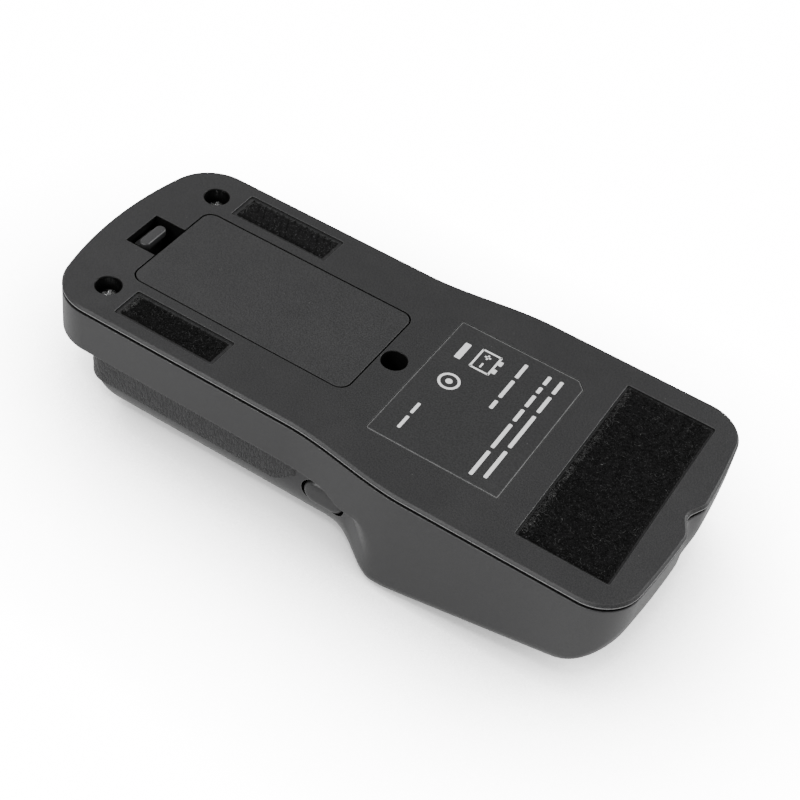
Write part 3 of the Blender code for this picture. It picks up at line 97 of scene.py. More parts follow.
def mix(low: float, high: float, share: float) -> float:
    """The number that lies at share between low and high."""
    return low + (high - low) * share


def arc(centre: tuple[float, float], radius: float, start: float, end: float, count: int) -> Plan:
    """Points along an arc, without its first one.

    Args:
        centre: Middle of the arc.
        radius: Its radius.
        start: Angle that it starts from, in radians.
        end: Angle that it reaches.
        count: Number of points.

    Returns:
        Plan points in order.
    """
    angles = [mix(start, end, step / count) for step in range(1, count + 1)]
    return [(centre[0] + radius * math.cos(a), centre[1] + radius * math.sin(a)) for a in angles]


def rounded_plan(length: float, width: float, radius: float, segments: int = 8) -> Plan:
    """Plan points of a rectangle with rounded corners, centred on the origin.

    Args:
        length: Size along X.
        width: Size along Y.
        radius: Corner radius.
        segments: Steps around each corner.

    Returns:
        Plan points, anticlockwise.
    """
    radius = max(radius, 0.01 * MM)
    points: list[tuple[float, float]] = []
    across, along = length / 2 - radius, width / 2 - radius
    for turn, (x, y) in enumerate(((across, along), (-across, along), (-across, -along), (across, -along))):
        first = turn * math.pi / 2
        points.append((x + radius * math.cos(first), y + radius * math.sin(first)))
        points.extend(arc((x, y), radius, first, first + math.pi / 2, segments))
    return points


def lift(plan: Plan, level: float, centre: tuple[float, float] = (0.0, 0.0)) -> Points:
    """Plan points as vectors at one height."""
    return [Vector((x + centre[0], y + centre[1], level)) for x, y in plan]


# ---- Shape of the moulded case -------------------------------------------------------------------
@dataclass(frozen=True)
class Station:
    """A place along one half of a plan outline."""

    x: float
    y: float
    end_share: float = 0.0
    notch: float = 0.0


@dataclass(frozen=True)
class CaseForm:
    """Outer form of the case, shared by the housing, its cover and the grip."""

    handle_width: float = 67.2 * MM
    head_width: float = 75.4 * MM
    handle_bow: float = 100 * MM
    head_bow: float = 240 * MM
    handle_corner: float = 13.5 * MM
    head_corner: float = 11.2 * MM
    neck: tuple[float, float] = (-8 * MM, 27 * MM)
    overhang: float = 2.9 * MM
    end_overhang: float = 11 * MM
    grip_corner: float = 6 * MM
    flank: tuple[float, float] = (5 * MM, 22 * MM)
    sweep_start: float = 3 * MM
    skirt_depth: float = 15 * MM
    edge_handle: tuple[float, float] = (10.5 * MM, 14 * MM)
    edge_head: tuple[float, float] = (4.5 * MM, 4.5 * MM)
    edge_end: tuple[float, float] = (11 * MM, 14 * MM)
    ridge: tuple[float, float] = (20 * MM, 28 * MM)
    notch_depth: float = 2.5 * MM
    notch_half: float = 6.7 * MM
    notch_fade: float = 16 * MM

    def skirt_half(self, x: float) -> float:
        """Half width of the skirt and the cover."""
        return mix(self.handle_width, self.head_width, ease(x, *self.neck)) / 2

    def body_half(self, x: float) -> float:
        """Half width of the body below the skirt."""
        return mix(self.handle_width / 2 - self.overhang, self.skirt_half(x), ease(x, *self.flank))

    def front(self, x: float) -> float:
        """Height of the front face at a place along the case."""
        start, end = self.ridge
        rise = math.tan(SLOPE)
        if x <= start:
            return 0.0
        if x < end:
            return rise * (x - start) ** 2 / (2 * (end - start))
        return rise * (x - (start + end) / 2)

    def edge(self, x: float, end_share: float) -> tuple[float, float]:
        """Reach of the front edge's rounding, across and down."""
        share = ease(x, self.flank[0] - 3 * MM, self.flank[1])
        across = mix(mix(self.edge_handle[0], self.edge_head[0], share), self.edge_end[0], end_share)
        down = mix(mix(self.edge_handle[1], self.edge_head[1], share), self.edge_end[1], end_share)
        return across, down

    def notch_at(self, level: float) -> float:
        """Depth of the centre-marking notch at a height."""
        return self.notch_depth * max(0.0, 1 - (BACK - level) / self.notch_fade)

    def skirt_level(self, station: Station) -> float:
        """Height of the skirt's lower edge, which runs down and out along the flank."""
        run = min(max((station.x - self.sweep_start) / (self.flank[1] - self.sweep_start), 0.0), 1.0)
        full = BACK - self.skirt_depth
        lowest = self.rounded(0.0)(station) + 0.6 * MM
        return max(full - full * 0.7 * run ** 1.6, lowest)

    def rounded(self, turn: float, wall: float = 0.0) -> Callable[[Station], float]:
        """Height around the front edge's rounding.

        Args:
            turn: Angle reached around the rounding, in radians.
            wall: Wall thickness, for the inside face.

        Returns:
            A function from a station to its height.
        """
        def level(station: Station) -> float:
            down = self.edge(station.x, station.end_share)[1]
            return self.front(station.x) + wall + (down - wall) * (1 - math.sin(turn))
        return level


FORM = CaseForm()


class Outline:
    """Closed plan outline, symmetric about the X axis.

    Outlines of any size have the same number of stations, so one grows into the next.
    """

    def __init__(self, start: float, start_corner: float, end: float, end_corner: float,
                 half_width: Callable[[float], float]) -> None:
        """Lay out the stations of one half, from the handle end to the head end.

        Args:
            start: Handle end on the X axis.
            start_corner: Corner radius there.
            end: Head end on the X axis.
            end_corner: Corner radius there.
            half_width: Half width at each place between the corners.
        """
        side = half_width(start) - start_corner
        reach = FORM.handle_bow - start_corner
        middle = start + FORM.handle_bow
        lean = math.asin(side / reach)
        centre = (middle - reach * math.cos(lean), side)
        plan = [(start, 0.0)]
        plan += arc((middle, 0.0), FORM.handle_bow, math.pi, math.pi - lean, 12)
        plan += arc(centre, start_corner, math.pi - lean, math.pi / 2, 16)
        self.half = [Station(x, y) for x, y in plan]
        side = half_width(end) - end_corner
        reach = FORM.head_bow - end_corner
        lean = math.asin(side / reach)
        corner = (end - FORM.head_bow + reach * math.cos(lean), side)
        stops = (self.half[-1].x, *FORM.neck, corner[0])
        for low, high, count in zip(stops, stops[1:], (14, 36, 12)):
            for step in range(1, count + 1):
                x = mix(low, high, step / count)
                self.half.append(Station(x, half_width(x)))
        for x, y in arc(corner, end_corner, math.pi / 2, lean, 18):
            self.half.append(Station(x, y, ((x - corner[0]) / end_corner) ** 2))
        edge = self.half[-1].y
        across = [mix(edge, FORM.notch_half, step / 8) for step in range(1, 8)]
        across += [FORM.notch_half * (1 - step / 18) for step in range(19)]
        for y in across:
            bow = FORM.head_bow - math.sqrt(FORM.head_bow ** 2 - y ** 2)
            self.half.append(Station(end - bow, y, 1.0, 1 - ease(y, 0.0, FORM.notch_half)))

    def ring(self, level: Callable[[Station], float]) -> Points:
        """All points at the heights that level gives, notch included."""
        upper = []
        for station in self.half:
            height = level(station)
            upper.append(Vector((station.x - FORM.notch_at(height) * station.notch, station.y, height)))
        lower = [Vector((p.x, -p.y, p.z)) for p in reversed(upper[1:-1])]
        return upper + lower


def skirt_outline(inset: float = 0.0, end_extra: float = 0.0) -> Outline:
    """Outline of the cover and the skirt, moved in by inset."""
    return Outline(
        -LENGTH / 2 + inset, FORM.handle_corner - inset, LENGTH / 2 - inset - end_extra,
        FORM.head_corner - inset, lambda x: FORM.skirt_half(x) - inset)


def body_outline(turn: float = 0.0, kept: float = 0.0, end_kept: float | None = None) -> Outline:
    """Outline of the body below the skirt.

    Args:
        turn: Angle reached around the front edge's rounding, in radians.
        kept: Distance in from the outer face before the rounding starts.
        end_kept: The same at the head end, where it differs.

    Returns:
        The outline at that turn.
    """
    share = 1 - math.cos(turn)
    end_kept = kept if end_kept is None else end_kept

    def half_width(x: float) -> float:
        return FORM.body_half(x) - mix(kept, FORM.edge(x, 0.0)[0], share)

    return Outline(
        -LENGTH / 2 + FORM.end_overhang + mix(kept, FORM.edge_handle[0], share), FORM.grip_corner,
        LENGTH / 2 - mix(end_kept, FORM.edge_end[0], share), FORM.head_corner, half_width)


# ---- Mesh building -------------------------------------------------------------------------------
class RingBody:
    """Body that grows ring by ring from one circle of edges."""

    def __init__(self, points: Points) -> None:
        """Start with a circle whose corners lie on points."""
        self.shape = bmesh.new()
        made = bmesh.ops.create_circle(self.shape, cap_ends=False, radius=1.0, segments=len(points))
        self.ring = list(made["verts"])
        self._place(points)

    def _place(self, points: Points) -> None:
        """Move the present ring's corners onto points."""
        for vert, point in zip(self.ring, points):
            vert.co = point

    def _edges(self, row: Sequence[bmesh.types.BMVert], closed: bool = True) -> list[bmesh.types.BMEdge]:
        """Edges along a row of corners."""
        after = row[1:] + row[:1] if closed else row[1:]
        return [self.shape.edges.get(pair) for pair in zip(row, after)]

    def grow(self, points: Points) -> "RingBody":
        """Extrude the present ring and move the new one onto points."""
        made = bmesh.ops.extrude_edge_only(self.shape, edges=self._edges(self.ring))
        fresh = {item for item in made["geom"] if isinstance(item, bmesh.types.BMVert)}
        self.ring = [
            next(e.other_vert(vert) for e in vert.link_edges if e.other_vert(vert) in fresh)
            for vert in self.ring]
        self._place(points)
        return self

    def cap(self) -> "RingBody":
        """Close the present ring with one flat face."""
        bmesh.ops.edgeloop_fill(self.shape, edges=self._edges(self.ring))
        return self

    def cap_across(self) -> "RingBody":
        """Close the present ring, symmetric about the X axis, with strips along Y."""
        half = len(self.ring) // 2
        upper = self.ring[1:half]
        lower = [self.ring[-index] for index in range(1, half)]
        edges = self._edges(upper, False) + self._edges(lower, False)
        bmesh.ops.bridge_loops(self.shape, edges=edges)
        for index in (0, half):
            ends = [self.ring[index - 1], self.ring[index], self.ring[(index + 1) % len(self.ring)]]
            bmesh.ops.contextual_create(self.shape, geom=ends)
        return self


def publish(name: str, shape: bmesh.types.BMesh, material: bpy.types.Material,
            sharp: float = 35.0, even: bool = True) -> bpy.types.Object:
    """Turn a mesh in the making into a scene object.

    Args:
        name: Name of the piece.
        shape: The mesh; it is freed here.
        material: Its finish.
        sharp: Edges that turn by more than this many degrees stay crisp.
        even: Weight the shading by face size, so that flat faces look flat.

    Returns:
        The new object, at the origin.
    """
    bmesh.ops.remove_doubles(shape, verts=shape.verts, dist=WELD)
    bmesh.ops.dissolve_degenerate(shape, edges=shape.edges, dist=1e-7)
    bmesh.ops.recalc_face_normals(shape, faces=shape.faces)
    mesh = bpy.data.meshes.new(name)
    shape.to_mesh(mesh)
    shape.free()
    mesh.materials.append(material)
    item = bpy.data.objects.new(name, mesh)
    bpy.context.scene.collection.objects.link(item)
    shade(item, sharp, even)
    return item


def absorb(shape: bmesh.types.BMesh, part: bmesh.types.BMesh) -> None:
    """Add a part to a mesh in the making, and free the part."""
    mesh = bpy.data.meshes.new("part")
    part.to_mesh(mesh)
    part.free()
    shape.from_mesh(mesh)
    bpy.data.meshes.remove(mesh)


def shade(item: bpy.types.Object, sharp: float = 35.0, even: bool = True) -> None:
    """Smooth shading that keeps crisp edges and flat faces."""
    item.data.shade_smooth()
    item.data.set_sharp_from_angle(angle=math.radians(sharp))
    if even:
        modifier = item.modifiers.new("even_shading", "WEIGHTED_NORMAL")
        modifier.keep_sharp = True


def carve(target: bpy.types.Object, steps: Sequence[tuple[str, bpy.types.Object]],
          sharp: float = 35.0) -> None:
    """Join tools to a piece or cut them from it, then keep only the result.

    Args:
        target: The piece.
        steps: Pairs of UNION or DIFFERENCE and the tool, in order.
        sharp: Angle for the crisp edges of the result.
    """
    target.modifiers.clear()
    own = len(target.data.materials)
    for operation, tool in steps:
        modifier = target.modifiers.new(tool.name, "BOOLEAN")
        modifier.operation = operation
        modifier.solver = "EXACT"
        modifier.material_mode = "TRANSFER"
        modifier.object = tool
        bpy.context.view_layer.update()
        graph = bpy.context.evaluated_depsgraph_get()
        made = bpy.data.meshes.new_from_object(target.evaluated_get(graph))
        target.modifiers.clear()
        old, used = target.data, tool.data
        target.data = made
        bpy.data.objects.remove(tool)
        bpy.data.meshes.remove(old)
        bpy.data.meshes.remove(used)
        shape = bmesh.new()
        shape.from_mesh(made)
        bmesh.ops.remove_doubles(shape, verts=shape.verts, dist=SLIVER)
        bmesh.ops.dissolve_degenerate(shape, edges=shape.edges, dist=SLIVER)
        shape.to_mesh(made)
        shape.free()
    target.data.name = target.name
    for face in target.data.polygons:
        if face.material_index >= own:
            face.material_index = 0
    while len(target.data.materials) > own:
        target.data.materials.pop()
    shade(target, sharp)


def block(low: Sequence[float], high: Sequence[float], ease_by: float = 0.0,
          steps: int = 2) -> bmesh.types.BMesh:
    """Box between two corners.

    Args:
        low: Lowest corner.
        high: Highest corner.
        ease_by: Radius of the eased edges, or 0 for sharp ones.
        steps: Steps around each eased edge.

    Returns:
        The box as a mesh in the making.
    """
    shape = bmesh.new()
    size = Vector(high) - Vector(low)
    bmesh.ops.create_cube(shape, size=1.0)
    bmesh.ops.scale(shape, verts=shape.verts, vec=size)
    bmesh.ops.translate(shape, verts=shape.verts, vec=(Vector(high) + Vector(low)) / 2)
    if ease_by > 0:
        bmesh.ops.bevel(
            shape, geom=shape.edges[:], offset=ease_by, segments=steps, profile=0.5,
            affect="EDGES", material=-1, clamp_overlap=True)
    return shape


def slab(length: float, width: float, radius: float, bottom: float, top: float, edge: float = 0.0,
         centre: tuple[float, float] = (0.0, 0.0), segments: int = 8) -> bmesh.types.BMesh:
    """Upright slab with rounded corners and, if edge is more than 0, rounded rims.

    Args:
        length: Size along X.
        width: Size along Y.
        radius: Corner radius.
        bottom: Lower face.
        top: Upper face.
        edge: Radius of the rounding along both faces' rims.
        centre: Middle of the slab in plan.
        segments: Steps around each corner.

    Returns:
        The slab as a mesh in the making.
    """
    def level(inset: float, height: float) -> Points:
        plan = rounded_plan(length - 2 * inset, width - 2 * inset, radius - inset, segments)
        return lift(plan, height, centre)

    turns = [step * math.pi / 8 for step in range(5)] if edge > 0 else [0.0]
    rows = [(edge * (1 - math.sin(turn)), bottom + edge * (1 - math.cos(turn))) for turn in turns]
    rows += [(edge * (1 - math.sin(turn)), top - edge * (1 - math.cos(turn))) for turn in reversed(turns)]
    if edge <= 0:
        rows = [(0.0, bottom), (0.0, top)]
    body = RingBody(level(*rows[0])).cap()
    for inset, height in rows[1:]:
        body.grow(level(inset, height))
    return body.cap().shape


def pocket(length: float, width: float, radius: float, bottom: float, top: float, flare: float,
           centre: tuple[float, float] = (0.0, 0.0), segments: int = 8) -> bmesh.types.BMesh:
    """Cutting tool for a recess whose mouth, at the height top, has a rounded rim.

    Args:
        length: Size along X.
        width: Size along Y.
        radius: Corner radius.
        bottom: Floor of the recess.
        top: Height of the face that it opens in.
        flare: Radius of the rounded rim.
        centre: Middle in plan.
        segments: Steps around each corner.

    Returns:
        The tool as a mesh in the making.
    """
    def level(grow: float, height: float) -> Points:
        plan = rounded_plan(length + 2 * grow, width + 2 * grow, radius + grow, segments)
        return lift(plan, height, centre)

    body = RingBody(level(0.0, bottom)).cap()
    for degrees in (0, 22, 44, 62, 80):
        turn = math.radians(degrees)
        body.grow(level(flare * (1 - math.cos(turn)), top - flare * (1 - math.sin(turn))))
    body.grow(level(flare, top + 0.02 * MM))
    body.grow(level(flare, top + 1.0 * MM))
    return body.cap().shape


def lathe(profile: Plan, centre: Sequence[float] = (0.0, 0.0, 0.0), steps: int = 48) -> bmesh.types.BMesh:
    """Solid spun about a vertical axis.

    Args:
        profile: Radius and height pairs, from the axis out and back to the axis.
        centre: Foot of the axis.
        steps: Steps around the axis.

    Returns:
        The solid as a mesh in the making.
    """
    shape = bmesh.new()
    row = [shape.verts.new((radius, 0.0, height)) for radius, height in profile]
    edges = [shape.edges.new(pair) for pair in zip(row, row[1:])]
    bmesh.ops.spin(
        shape, geom=row + edges, cent=(0, 0, 0), axis=(0, 0, 1), dvec=(0, 0, 0),
        angle=2 * math.pi, steps=steps, use_merge=True, use_duplicate=False)
    bmesh.ops.remove_doubles(shape, verts=shape.verts, dist=WELD)
    bmesh.ops.translate(shape, verts=shape.verts, vec=centre)
    return shape


def moved(shape: bmesh.types.BMesh, matrix: Matrix) -> bmesh.types.BMesh:
    """The same mesh in the making, after a transform."""
    bmesh.ops.transform(shape, matrix=matrix, verts=shape.verts)
    return shape


DISPLAY_PLACE = (
    Matrix.Translation((50 * MM, 0.0, FORM.front(50 * MM))) @ Matrix.Rotation(-SLOPE, 4, "Y"))


# ---- Shared shader effects -----------------------------------------------------------------------
class NodeKit:
    """Places and joins nodes in one node tree."""

    def __init__(self, tree: bpy.types.NodeTree) -> None:
        """Work in this tree."""
        self.tree = tree

    def add(self, kind: str, inputs: dict | None = None, **settings: object) -> bpy.types.Node:
        """Place a node.

        Args:
            kind: Node type.
            inputs: Socket name or number to a value, or to an output socket to join.
            settings: Properties of the node.

        Returns:
            The node.
        """
        node = self.tree.nodes.new(kind)
        for name, value in settings.items():
            setattr(node, name, value)
        self.feed(node, inputs or {})
        return node

    def feed(self, node: bpy.types.Node, inputs: dict) -> None:
        """Join sockets to a node's inputs, or give the inputs their values."""
        for name, value in inputs.items():
            if isinstance(value, bpy.types.NodeSocket):
                self.tree.links.new(value, node.inputs[name])
            else:
                node.inputs[name].default_value = value

    def group(self, tree: bpy.types.NodeTree, inputs: dict) -> bpy.types.Node:
        """Place a shared effect."""
        return self.add("ShaderNodeGroup", inputs, node_tree=tree)

    def math(self, operation: str, first: object, second: object = 0.0,
             clamp: bool = False) -> bpy.types.NodeSocket:
        """Result of a Math node on two values."""
        return self.add(
            "ShaderNodeMath", {0: first, 1: second}, operation=operation, use_clamp=clamp).outputs[0]

    def span(self, value: object, low: float, high: float, out_low: float = 0.0,
             out_high: float = 1.0) -> bpy.types.NodeSocket:
        """Value mapped from one range to another, clamped."""
        return self.add("ShaderNodeMapRange", {
            "Value": value, "From Min": low, "From Max": high, "To Min": out_low, "To Max": out_high,
        }, interpolation_type="SMOOTHSTEP").outputs[0]

    def tint(self, first: object, second: object, share: object) -> bpy.types.NodeSocket:
        """Colour between two colours."""
        return self.add(
            "ShaderNodeMix", {0: share, 6: first, 7: second}, data_type="RGBA").outputs[2]

    def place(self, stretch: Sequence[float] = (1.0, 1.0, 1.0)) -> bpy.types.NodeSocket:
        """Object coordinates, stretched along the axes."""
        source = self.add("ShaderNodeTexCoord").outputs["Object"]
        return self.add("ShaderNodeMapping", {"Vector": source, "Scale": stretch}).outputs[0]

    def noise(self, vector: object, scale: object, detail: float = 3.0,
              roughness: float = 0.55) -> bpy.types.NodeSocket:
        """Fractal noise from 0 to 1."""
        return self.add("ShaderNodeTexNoise", {
            "Vector": vector, "Scale": scale, "Detail": detail, "Roughness": roughness}).outputs[0]


def make_group(name: str, inputs: Sequence[tuple[str, float]], outputs: Sequence[str],
               ) -> tuple[bpy.types.NodeTree, NodeKit, bpy.types.Node, bpy.types.Node]:
    """Start a shader group.

    Args:
        name: Name of the group.
        inputs: Names and starting values of its number inputs.
        outputs: Names of its number outputs.

    Returns:
        The group, its node kit, and its input and output nodes.
    """
    tree = bpy.data.node_groups.new(name, "ShaderNodeTree")
    for label, value in inputs:
        socket = tree.interface.new_socket(label, in_out="INPUT", socket_type="NodeSocketFloat")
        socket.default_value = value
    for label in outputs:
        tree.interface.new_socket(label, in_out="OUTPUT", socket_type="NodeSocketFloat")
    kit = NodeKit(tree)
    return tree, kit, kit.add("NodeGroupInput"), kit.add("NodeGroupOutput")


class SharedEffects:
    """Shader groups that several finishes use, each built once."""

    def __init__(self) -> None:
        """Build every group."""
        self.grain = self._grain()
        self.wear_and_highlight = self._wear_and_highlight()
        self.dust = self._dust()
        self.leather = self._leather()
        self.scuffs = self._scuffs()
        self.crevice = self._crevice()

    @staticmethod
    def _crevice() -> bpy.types.NodeTree:
        """Mask of painted shade in gaps, wells and undercuts, where light seldom reaches, from ambient
        occlusion.
        """
        tree, kit, source, result = make_group(
            "crevice_painted_shade", (("Reach", 7 * MM), ("Amount", 0.8)), ("Mask",))
        shelter = kit.add(
            "ShaderNodeAmbientOcclusion", {"Distance": source.outputs["Reach"]}, samples=6).outputs["AO"]
        deep = kit.span(shelter, 0.28, 0.84, 1.0, 0.0)
        kit.feed(result, {"Mask": kit.math("MULTIPLY", deep, source.outputs["Amount"], True)})
        return tree

    @staticmethod
    def _grain() -> bpy.types.NodeTree:
        """Spark-eroded mould texture: fine pits over a broad, faint mottle."""
        tree, kit, source, result = make_group(
            "moulded_grain", (("Grain Size", 0.4 * MM), ("Mottle Size", 6 * MM)), ("Tone", "Height"))
        place = kit.place()
        scale = kit.math("DIVIDE", 1.0, source.outputs["Grain Size"])
        broad = kit.math("DIVIDE", 1.0, source.outputs["Mottle Size"])
        fine = kit.noise(place, scale, 4.0, 0.7)
        cells = kit.add("ShaderNodeTexVoronoi", {
            "Vector": place, "Scale": kit.math("MULTIPLY", scale, 0.8)}).outputs["Distance"]
        mottle = kit.noise(place, broad, 3.0, 0.6)
        pits = kit.math("MULTIPLY", fine, kit.span(cells, 0.05, 0.6, 0.45, 1.0))
        tone = kit.math("ADD", kit.math("MULTIPLY", fine, 0.94), kit.math("MULTIPLY", mottle, 0.06))
        kit.feed(result, {"Tone": kit.span(tone, 0.34, 0.66), "Height": pits})
        return tree

    @staticmethod
    def _wear_and_highlight() -> bpy.types.NodeTree:
        """Mask along the edges, for real wear and painted highlight lines, broken up by noise."""
        tree, kit, source, result = make_group(
            "edge_wear_and_highlight", (("Width", 0.25 * MM), ("Amount", 0.6)), ("Mask",))
        rounded = kit.add("ShaderNodeBevel", {"Radius": source.outputs["Width"]}, samples=4).outputs[0]
        plain = kit.add("ShaderNodeNewGeometry").outputs["Normal"]
        along = kit.add(
            "ShaderNodeVectorMath", {0: rounded, 1: plain}, operation="DOT_PRODUCT").outputs["Value"]
        turned = kit.span(kit.math("SUBTRACT", 1.0, along), 0.003, 0.09)
        broken = kit.span(kit.noise(kit.place(), 900.0, 4.0, 0.65), 0.3, 0.6, 0.6, 1.0)
        mask = kit.math("MULTIPLY", kit.math("MULTIPLY", turned, broken), source.outputs["Amount"], True)
        kit.feed(result, {"Mask": mask})
        return tree

    @staticmethod
    def _dust() -> bpy.types.NodeTree:
        """Mask of stray specks and thin film on faces that look up."""
        tree, kit, source, result = make_group("settled_dust", (("Amount", 0.2),), ("Mask",))
        place = kit.place()
        facing = kit.add("ShaderNodeSeparateXYZ", {0: kit.add("ShaderNodeNewGeometry").outputs["Normal"]})
        upward = kit.span(facing.outputs["Z"], 0.3, 0.95)
        specks = kit.add("ShaderNodeTexVoronoi", {"Vector": place, "Scale": 420.0}).outputs["Distance"]
        dots = kit.span(specks, 0.09, 0.05)
        rare = kit.span(kit.noise(place, 130.0, 2.0), 0.56, 0.66)
        film = kit.math("MULTIPLY", kit.span(kit.noise(place, 45.0, 4.0, 0.6), 0.4, 0.75), 0.1)
        both = kit.math("ADD", kit.math("MULTIPLY", dots, rare), film)
        mask = kit.math("MULTIPLY", kit.math("MULTIPLY", both, upward), source.outputs["Amount"], True)
        kit.feed(result, {"Mask": mask})
        return tree

    @staticmethod
    def _leather() -> bpy.types.NodeTree:
        """Wrinkled leather grain whose folds run up and down, with painted shade that darkens the creases."""
        tree, kit, source, result = make_group(
            "leather_grain", (("Fold Size", 1.1 * MM),), ("Tone", "Height"))
        scale = kit.math("DIVIDE", 1.0, source.outputs["Fold Size"])
        place = kit.place((1.0, 1.0, 0.34))
        folds = kit.add("ShaderNodeTexVoronoi", {
            "Vector": place, "Scale": scale, "Randomness": 1.0},
            feature="DISTANCE_TO_EDGE").outputs["Distance"]
        fine = kit.noise(kit.place((1.0, 1.0, 0.5)), kit.math("MULTIPLY", scale, 2.6), 4.0, 0.65)
        creased = kit.math("MULTIPLY", kit.span(folds, 0.0, 0.22), 0.6)
        height = kit.math("ADD", creased, kit.math("MULTIPLY", fine, 0.5))
        # Tone follows the fold height, so the creases are painted darker as shade.
        kit.feed(result, {"Tone": kit.span(height, 0.25, 0.95), "Height": height})
        return tree

    @staticmethod
    def _scuffs() -> bpy.types.NodeTree:
        """Short fine rubs in one direction, as on a handled or turned face."""
        tree, kit, source, result = make_group("fine_scuffs", (("Amount", 0.3),), ("Mask",))
        threads = kit.noise(kit.place((1.0, 0.08, 1.0)), 1400.0, 3.0, 0.6)
        patches = kit.span(kit.noise(kit.place(), 60.0, 3.0), 0.45, 0.7)
        lines = kit.math("MULTIPLY", kit.span(threads, 0.6, 0.75), patches)
        kit.feed(result, {"Mask": kit.math("MULTIPLY", lines, source.outputs["Amount"], True)})
        return tree


# ---- Finishes ------------------------------------------------------------------------------------
Colour = tuple[float, float, float]
DUST_TONE = (0.42, 0.41, 0.4)
# Near-black colour of the painted shade in crevices and wells.
PAINTED_SHADE_TONE = (0.002, 0.002, 0.002)


def opaque(colour: Colour) -> tuple[float, float, float, float]:
    """Colour with full alpha."""
    return (*colour, 1.0)


@dataclass(frozen=True)
class Finish:
    """Moulded, painted or cast surface with grain, worn edges with painted highlight lines, a trace of dust
    and painted shade in its crevices.
    """

    name: str
    tone: Colour
    light_tone: Colour
    roughness: float = 0.5
    rough_spread: float = 0.12
    grain: float = 0.4 * MM
    mottle: float = 6 * MM
    relief: float = 0.012 * MM
    # Edge mask: real wear together with painted highlight lines along the edges.
    wear_and_highlight: float = 0.4
    wear_and_highlight_width: float = 0.3 * MM
    wear_and_highlight_tone: Colour = (0.16, 0.16, 0.165)
    # Strength of the painted shade in crevices and wells.
    painted_shade: float = 0.0
    dust: float = 0.12
    scuff: float = 0.15
    metallic: float = 0.0
    specular: float = 0.5
    coat: float = 0.0

    def build(self, effects: SharedEffects) -> bpy.types.Material:
        """Make the material.

        Args:
            effects: Shared shader groups.

        Returns:
            The finished material.
        """
        material, kit, shader = blank_material(self.name)
        grain = self._grain(kit, effects)
        wear_and_highlight = kit.group(effects.wear_and_highlight, {"Amount": self.wear_and_highlight, "Width": self.wear_and_highlight_width})
        dust = kit.group(effects.dust, {"Amount": self.dust})
        scuff = kit.group(effects.scuffs, {"Amount": self.scuff})
        base = self.pattern(kit, kit.tint(opaque(self.tone), opaque(self.light_tone), grain.outputs["Tone"]))
        # Lighter edges: real wear together with painted highlight lines along rims, skirt and label edges.
        worn_and_highlit = kit.tint(base, opaque(self.wear_and_highlight_tone), wear_and_highlight.outputs["Mask"])
        dusty_and_shaded = kit.tint(worn_and_highlit, opaque(DUST_TONE), dust.outputs["Mask"])
        # Painted shade: crevices, wells and undercuts are darkened in the base colour by the occlusion mask.
        if self.painted_shade > 0:
            crevice = kit.group(effects.crevice, {"Amount": self.painted_shade})
            dusty_and_shaded = kit.tint(dusty_and_shaded, opaque(PAINTED_SHADE_TONE), crevice.outputs["Mask"])
        rough = kit.span(
            grain.outputs["Tone"], 0.0, 1.0, self.roughness - self.rough_spread / 2,
            self.roughness + self.rough_spread / 2)
        rough = kit.math("SUBTRACT", rough, kit.math("MULTIPLY", wear_and_highlight.outputs["Mask"], 0.2))
        rough = kit.math("ADD", rough, kit.math("MULTIPLY", scuff.outputs["Mask"], 0.35), True)
        bump = kit.add("ShaderNodeBump", {
            "Height": grain.outputs["Height"], "Distance": self.relief, "Strength": 1.0})
        kit.feed(shader, {
            "Base Color": dusty_and_shaded, "Roughness": rough, "Normal": bump.outputs[0],
            "Metallic": self.metallic, "Specular IOR Level": self.specular,
            "Coat Weight": self.coat, "Coat Roughness": 0.2})
        return material

    def _grain(self, kit: NodeKit, effects: SharedEffects) -> bpy.types.Node:
        """Grain that sets the tone and the relief."""
        return kit.group(effects.grain, {"Grain Size": self.grain, "Mottle Size": self.mottle})

    def pattern(self, kit: NodeKit, base: bpy.types.NodeSocket) -> bpy.types.NodeSocket:
        """Marks of the piece's own laid over its base colour; a plain finish has none."""
        return base


@dataclass(frozen=True)
class LeatherFinish(Finish):
    """Rubber moulded with a wrinkled leather grain."""

    fold: float = 1.1 * MM

    def _grain(self, kit: NodeKit, effects: SharedEffects) -> bpy.types.Node:
        """Leather folds in place of the moulded grain."""
        return kit.group(effects.leather, {"Fold Size": self.fold})


@dataclass(frozen=True)
class BandedFinish(Finish):
    """Finish with one printed band across the X axis, as on a battery's wrap or a capacitor."""

    band: tuple[float, float] = (0.0, 0.0)
    band_tone: Colour = (0.5, 0.5, 0.5)
    axis: str = "X"

    def pattern(self, kit: NodeKit, base: bpy.types.NodeSocket) -> bpy.types.NodeSocket:
        """Lay the band, with a thin light line at each of its edges."""
        place = kit.add("ShaderNodeSeparateXYZ", {0: kit.place()}).outputs[self.axis]
        low, high = self.band
        line = 0.35 * MM
        inside = kit.math(
            "MULTIPLY", kit.math("GREATER_THAN", place, low), kit.math("LESS_THAN", place, high))
        edges = [
            kit.add("ShaderNodeMath", {0: place, 1: edge, 2: line}, operation="COMPARE").outputs[0]
            for edge in self.band]
        rim = kit.math("ADD", *edges, True)
        banded = kit.tint(base, opaque(self.band_tone), inside)
        return kit.tint(banded, opaque((0.7, 0.7, 0.68)), rim)


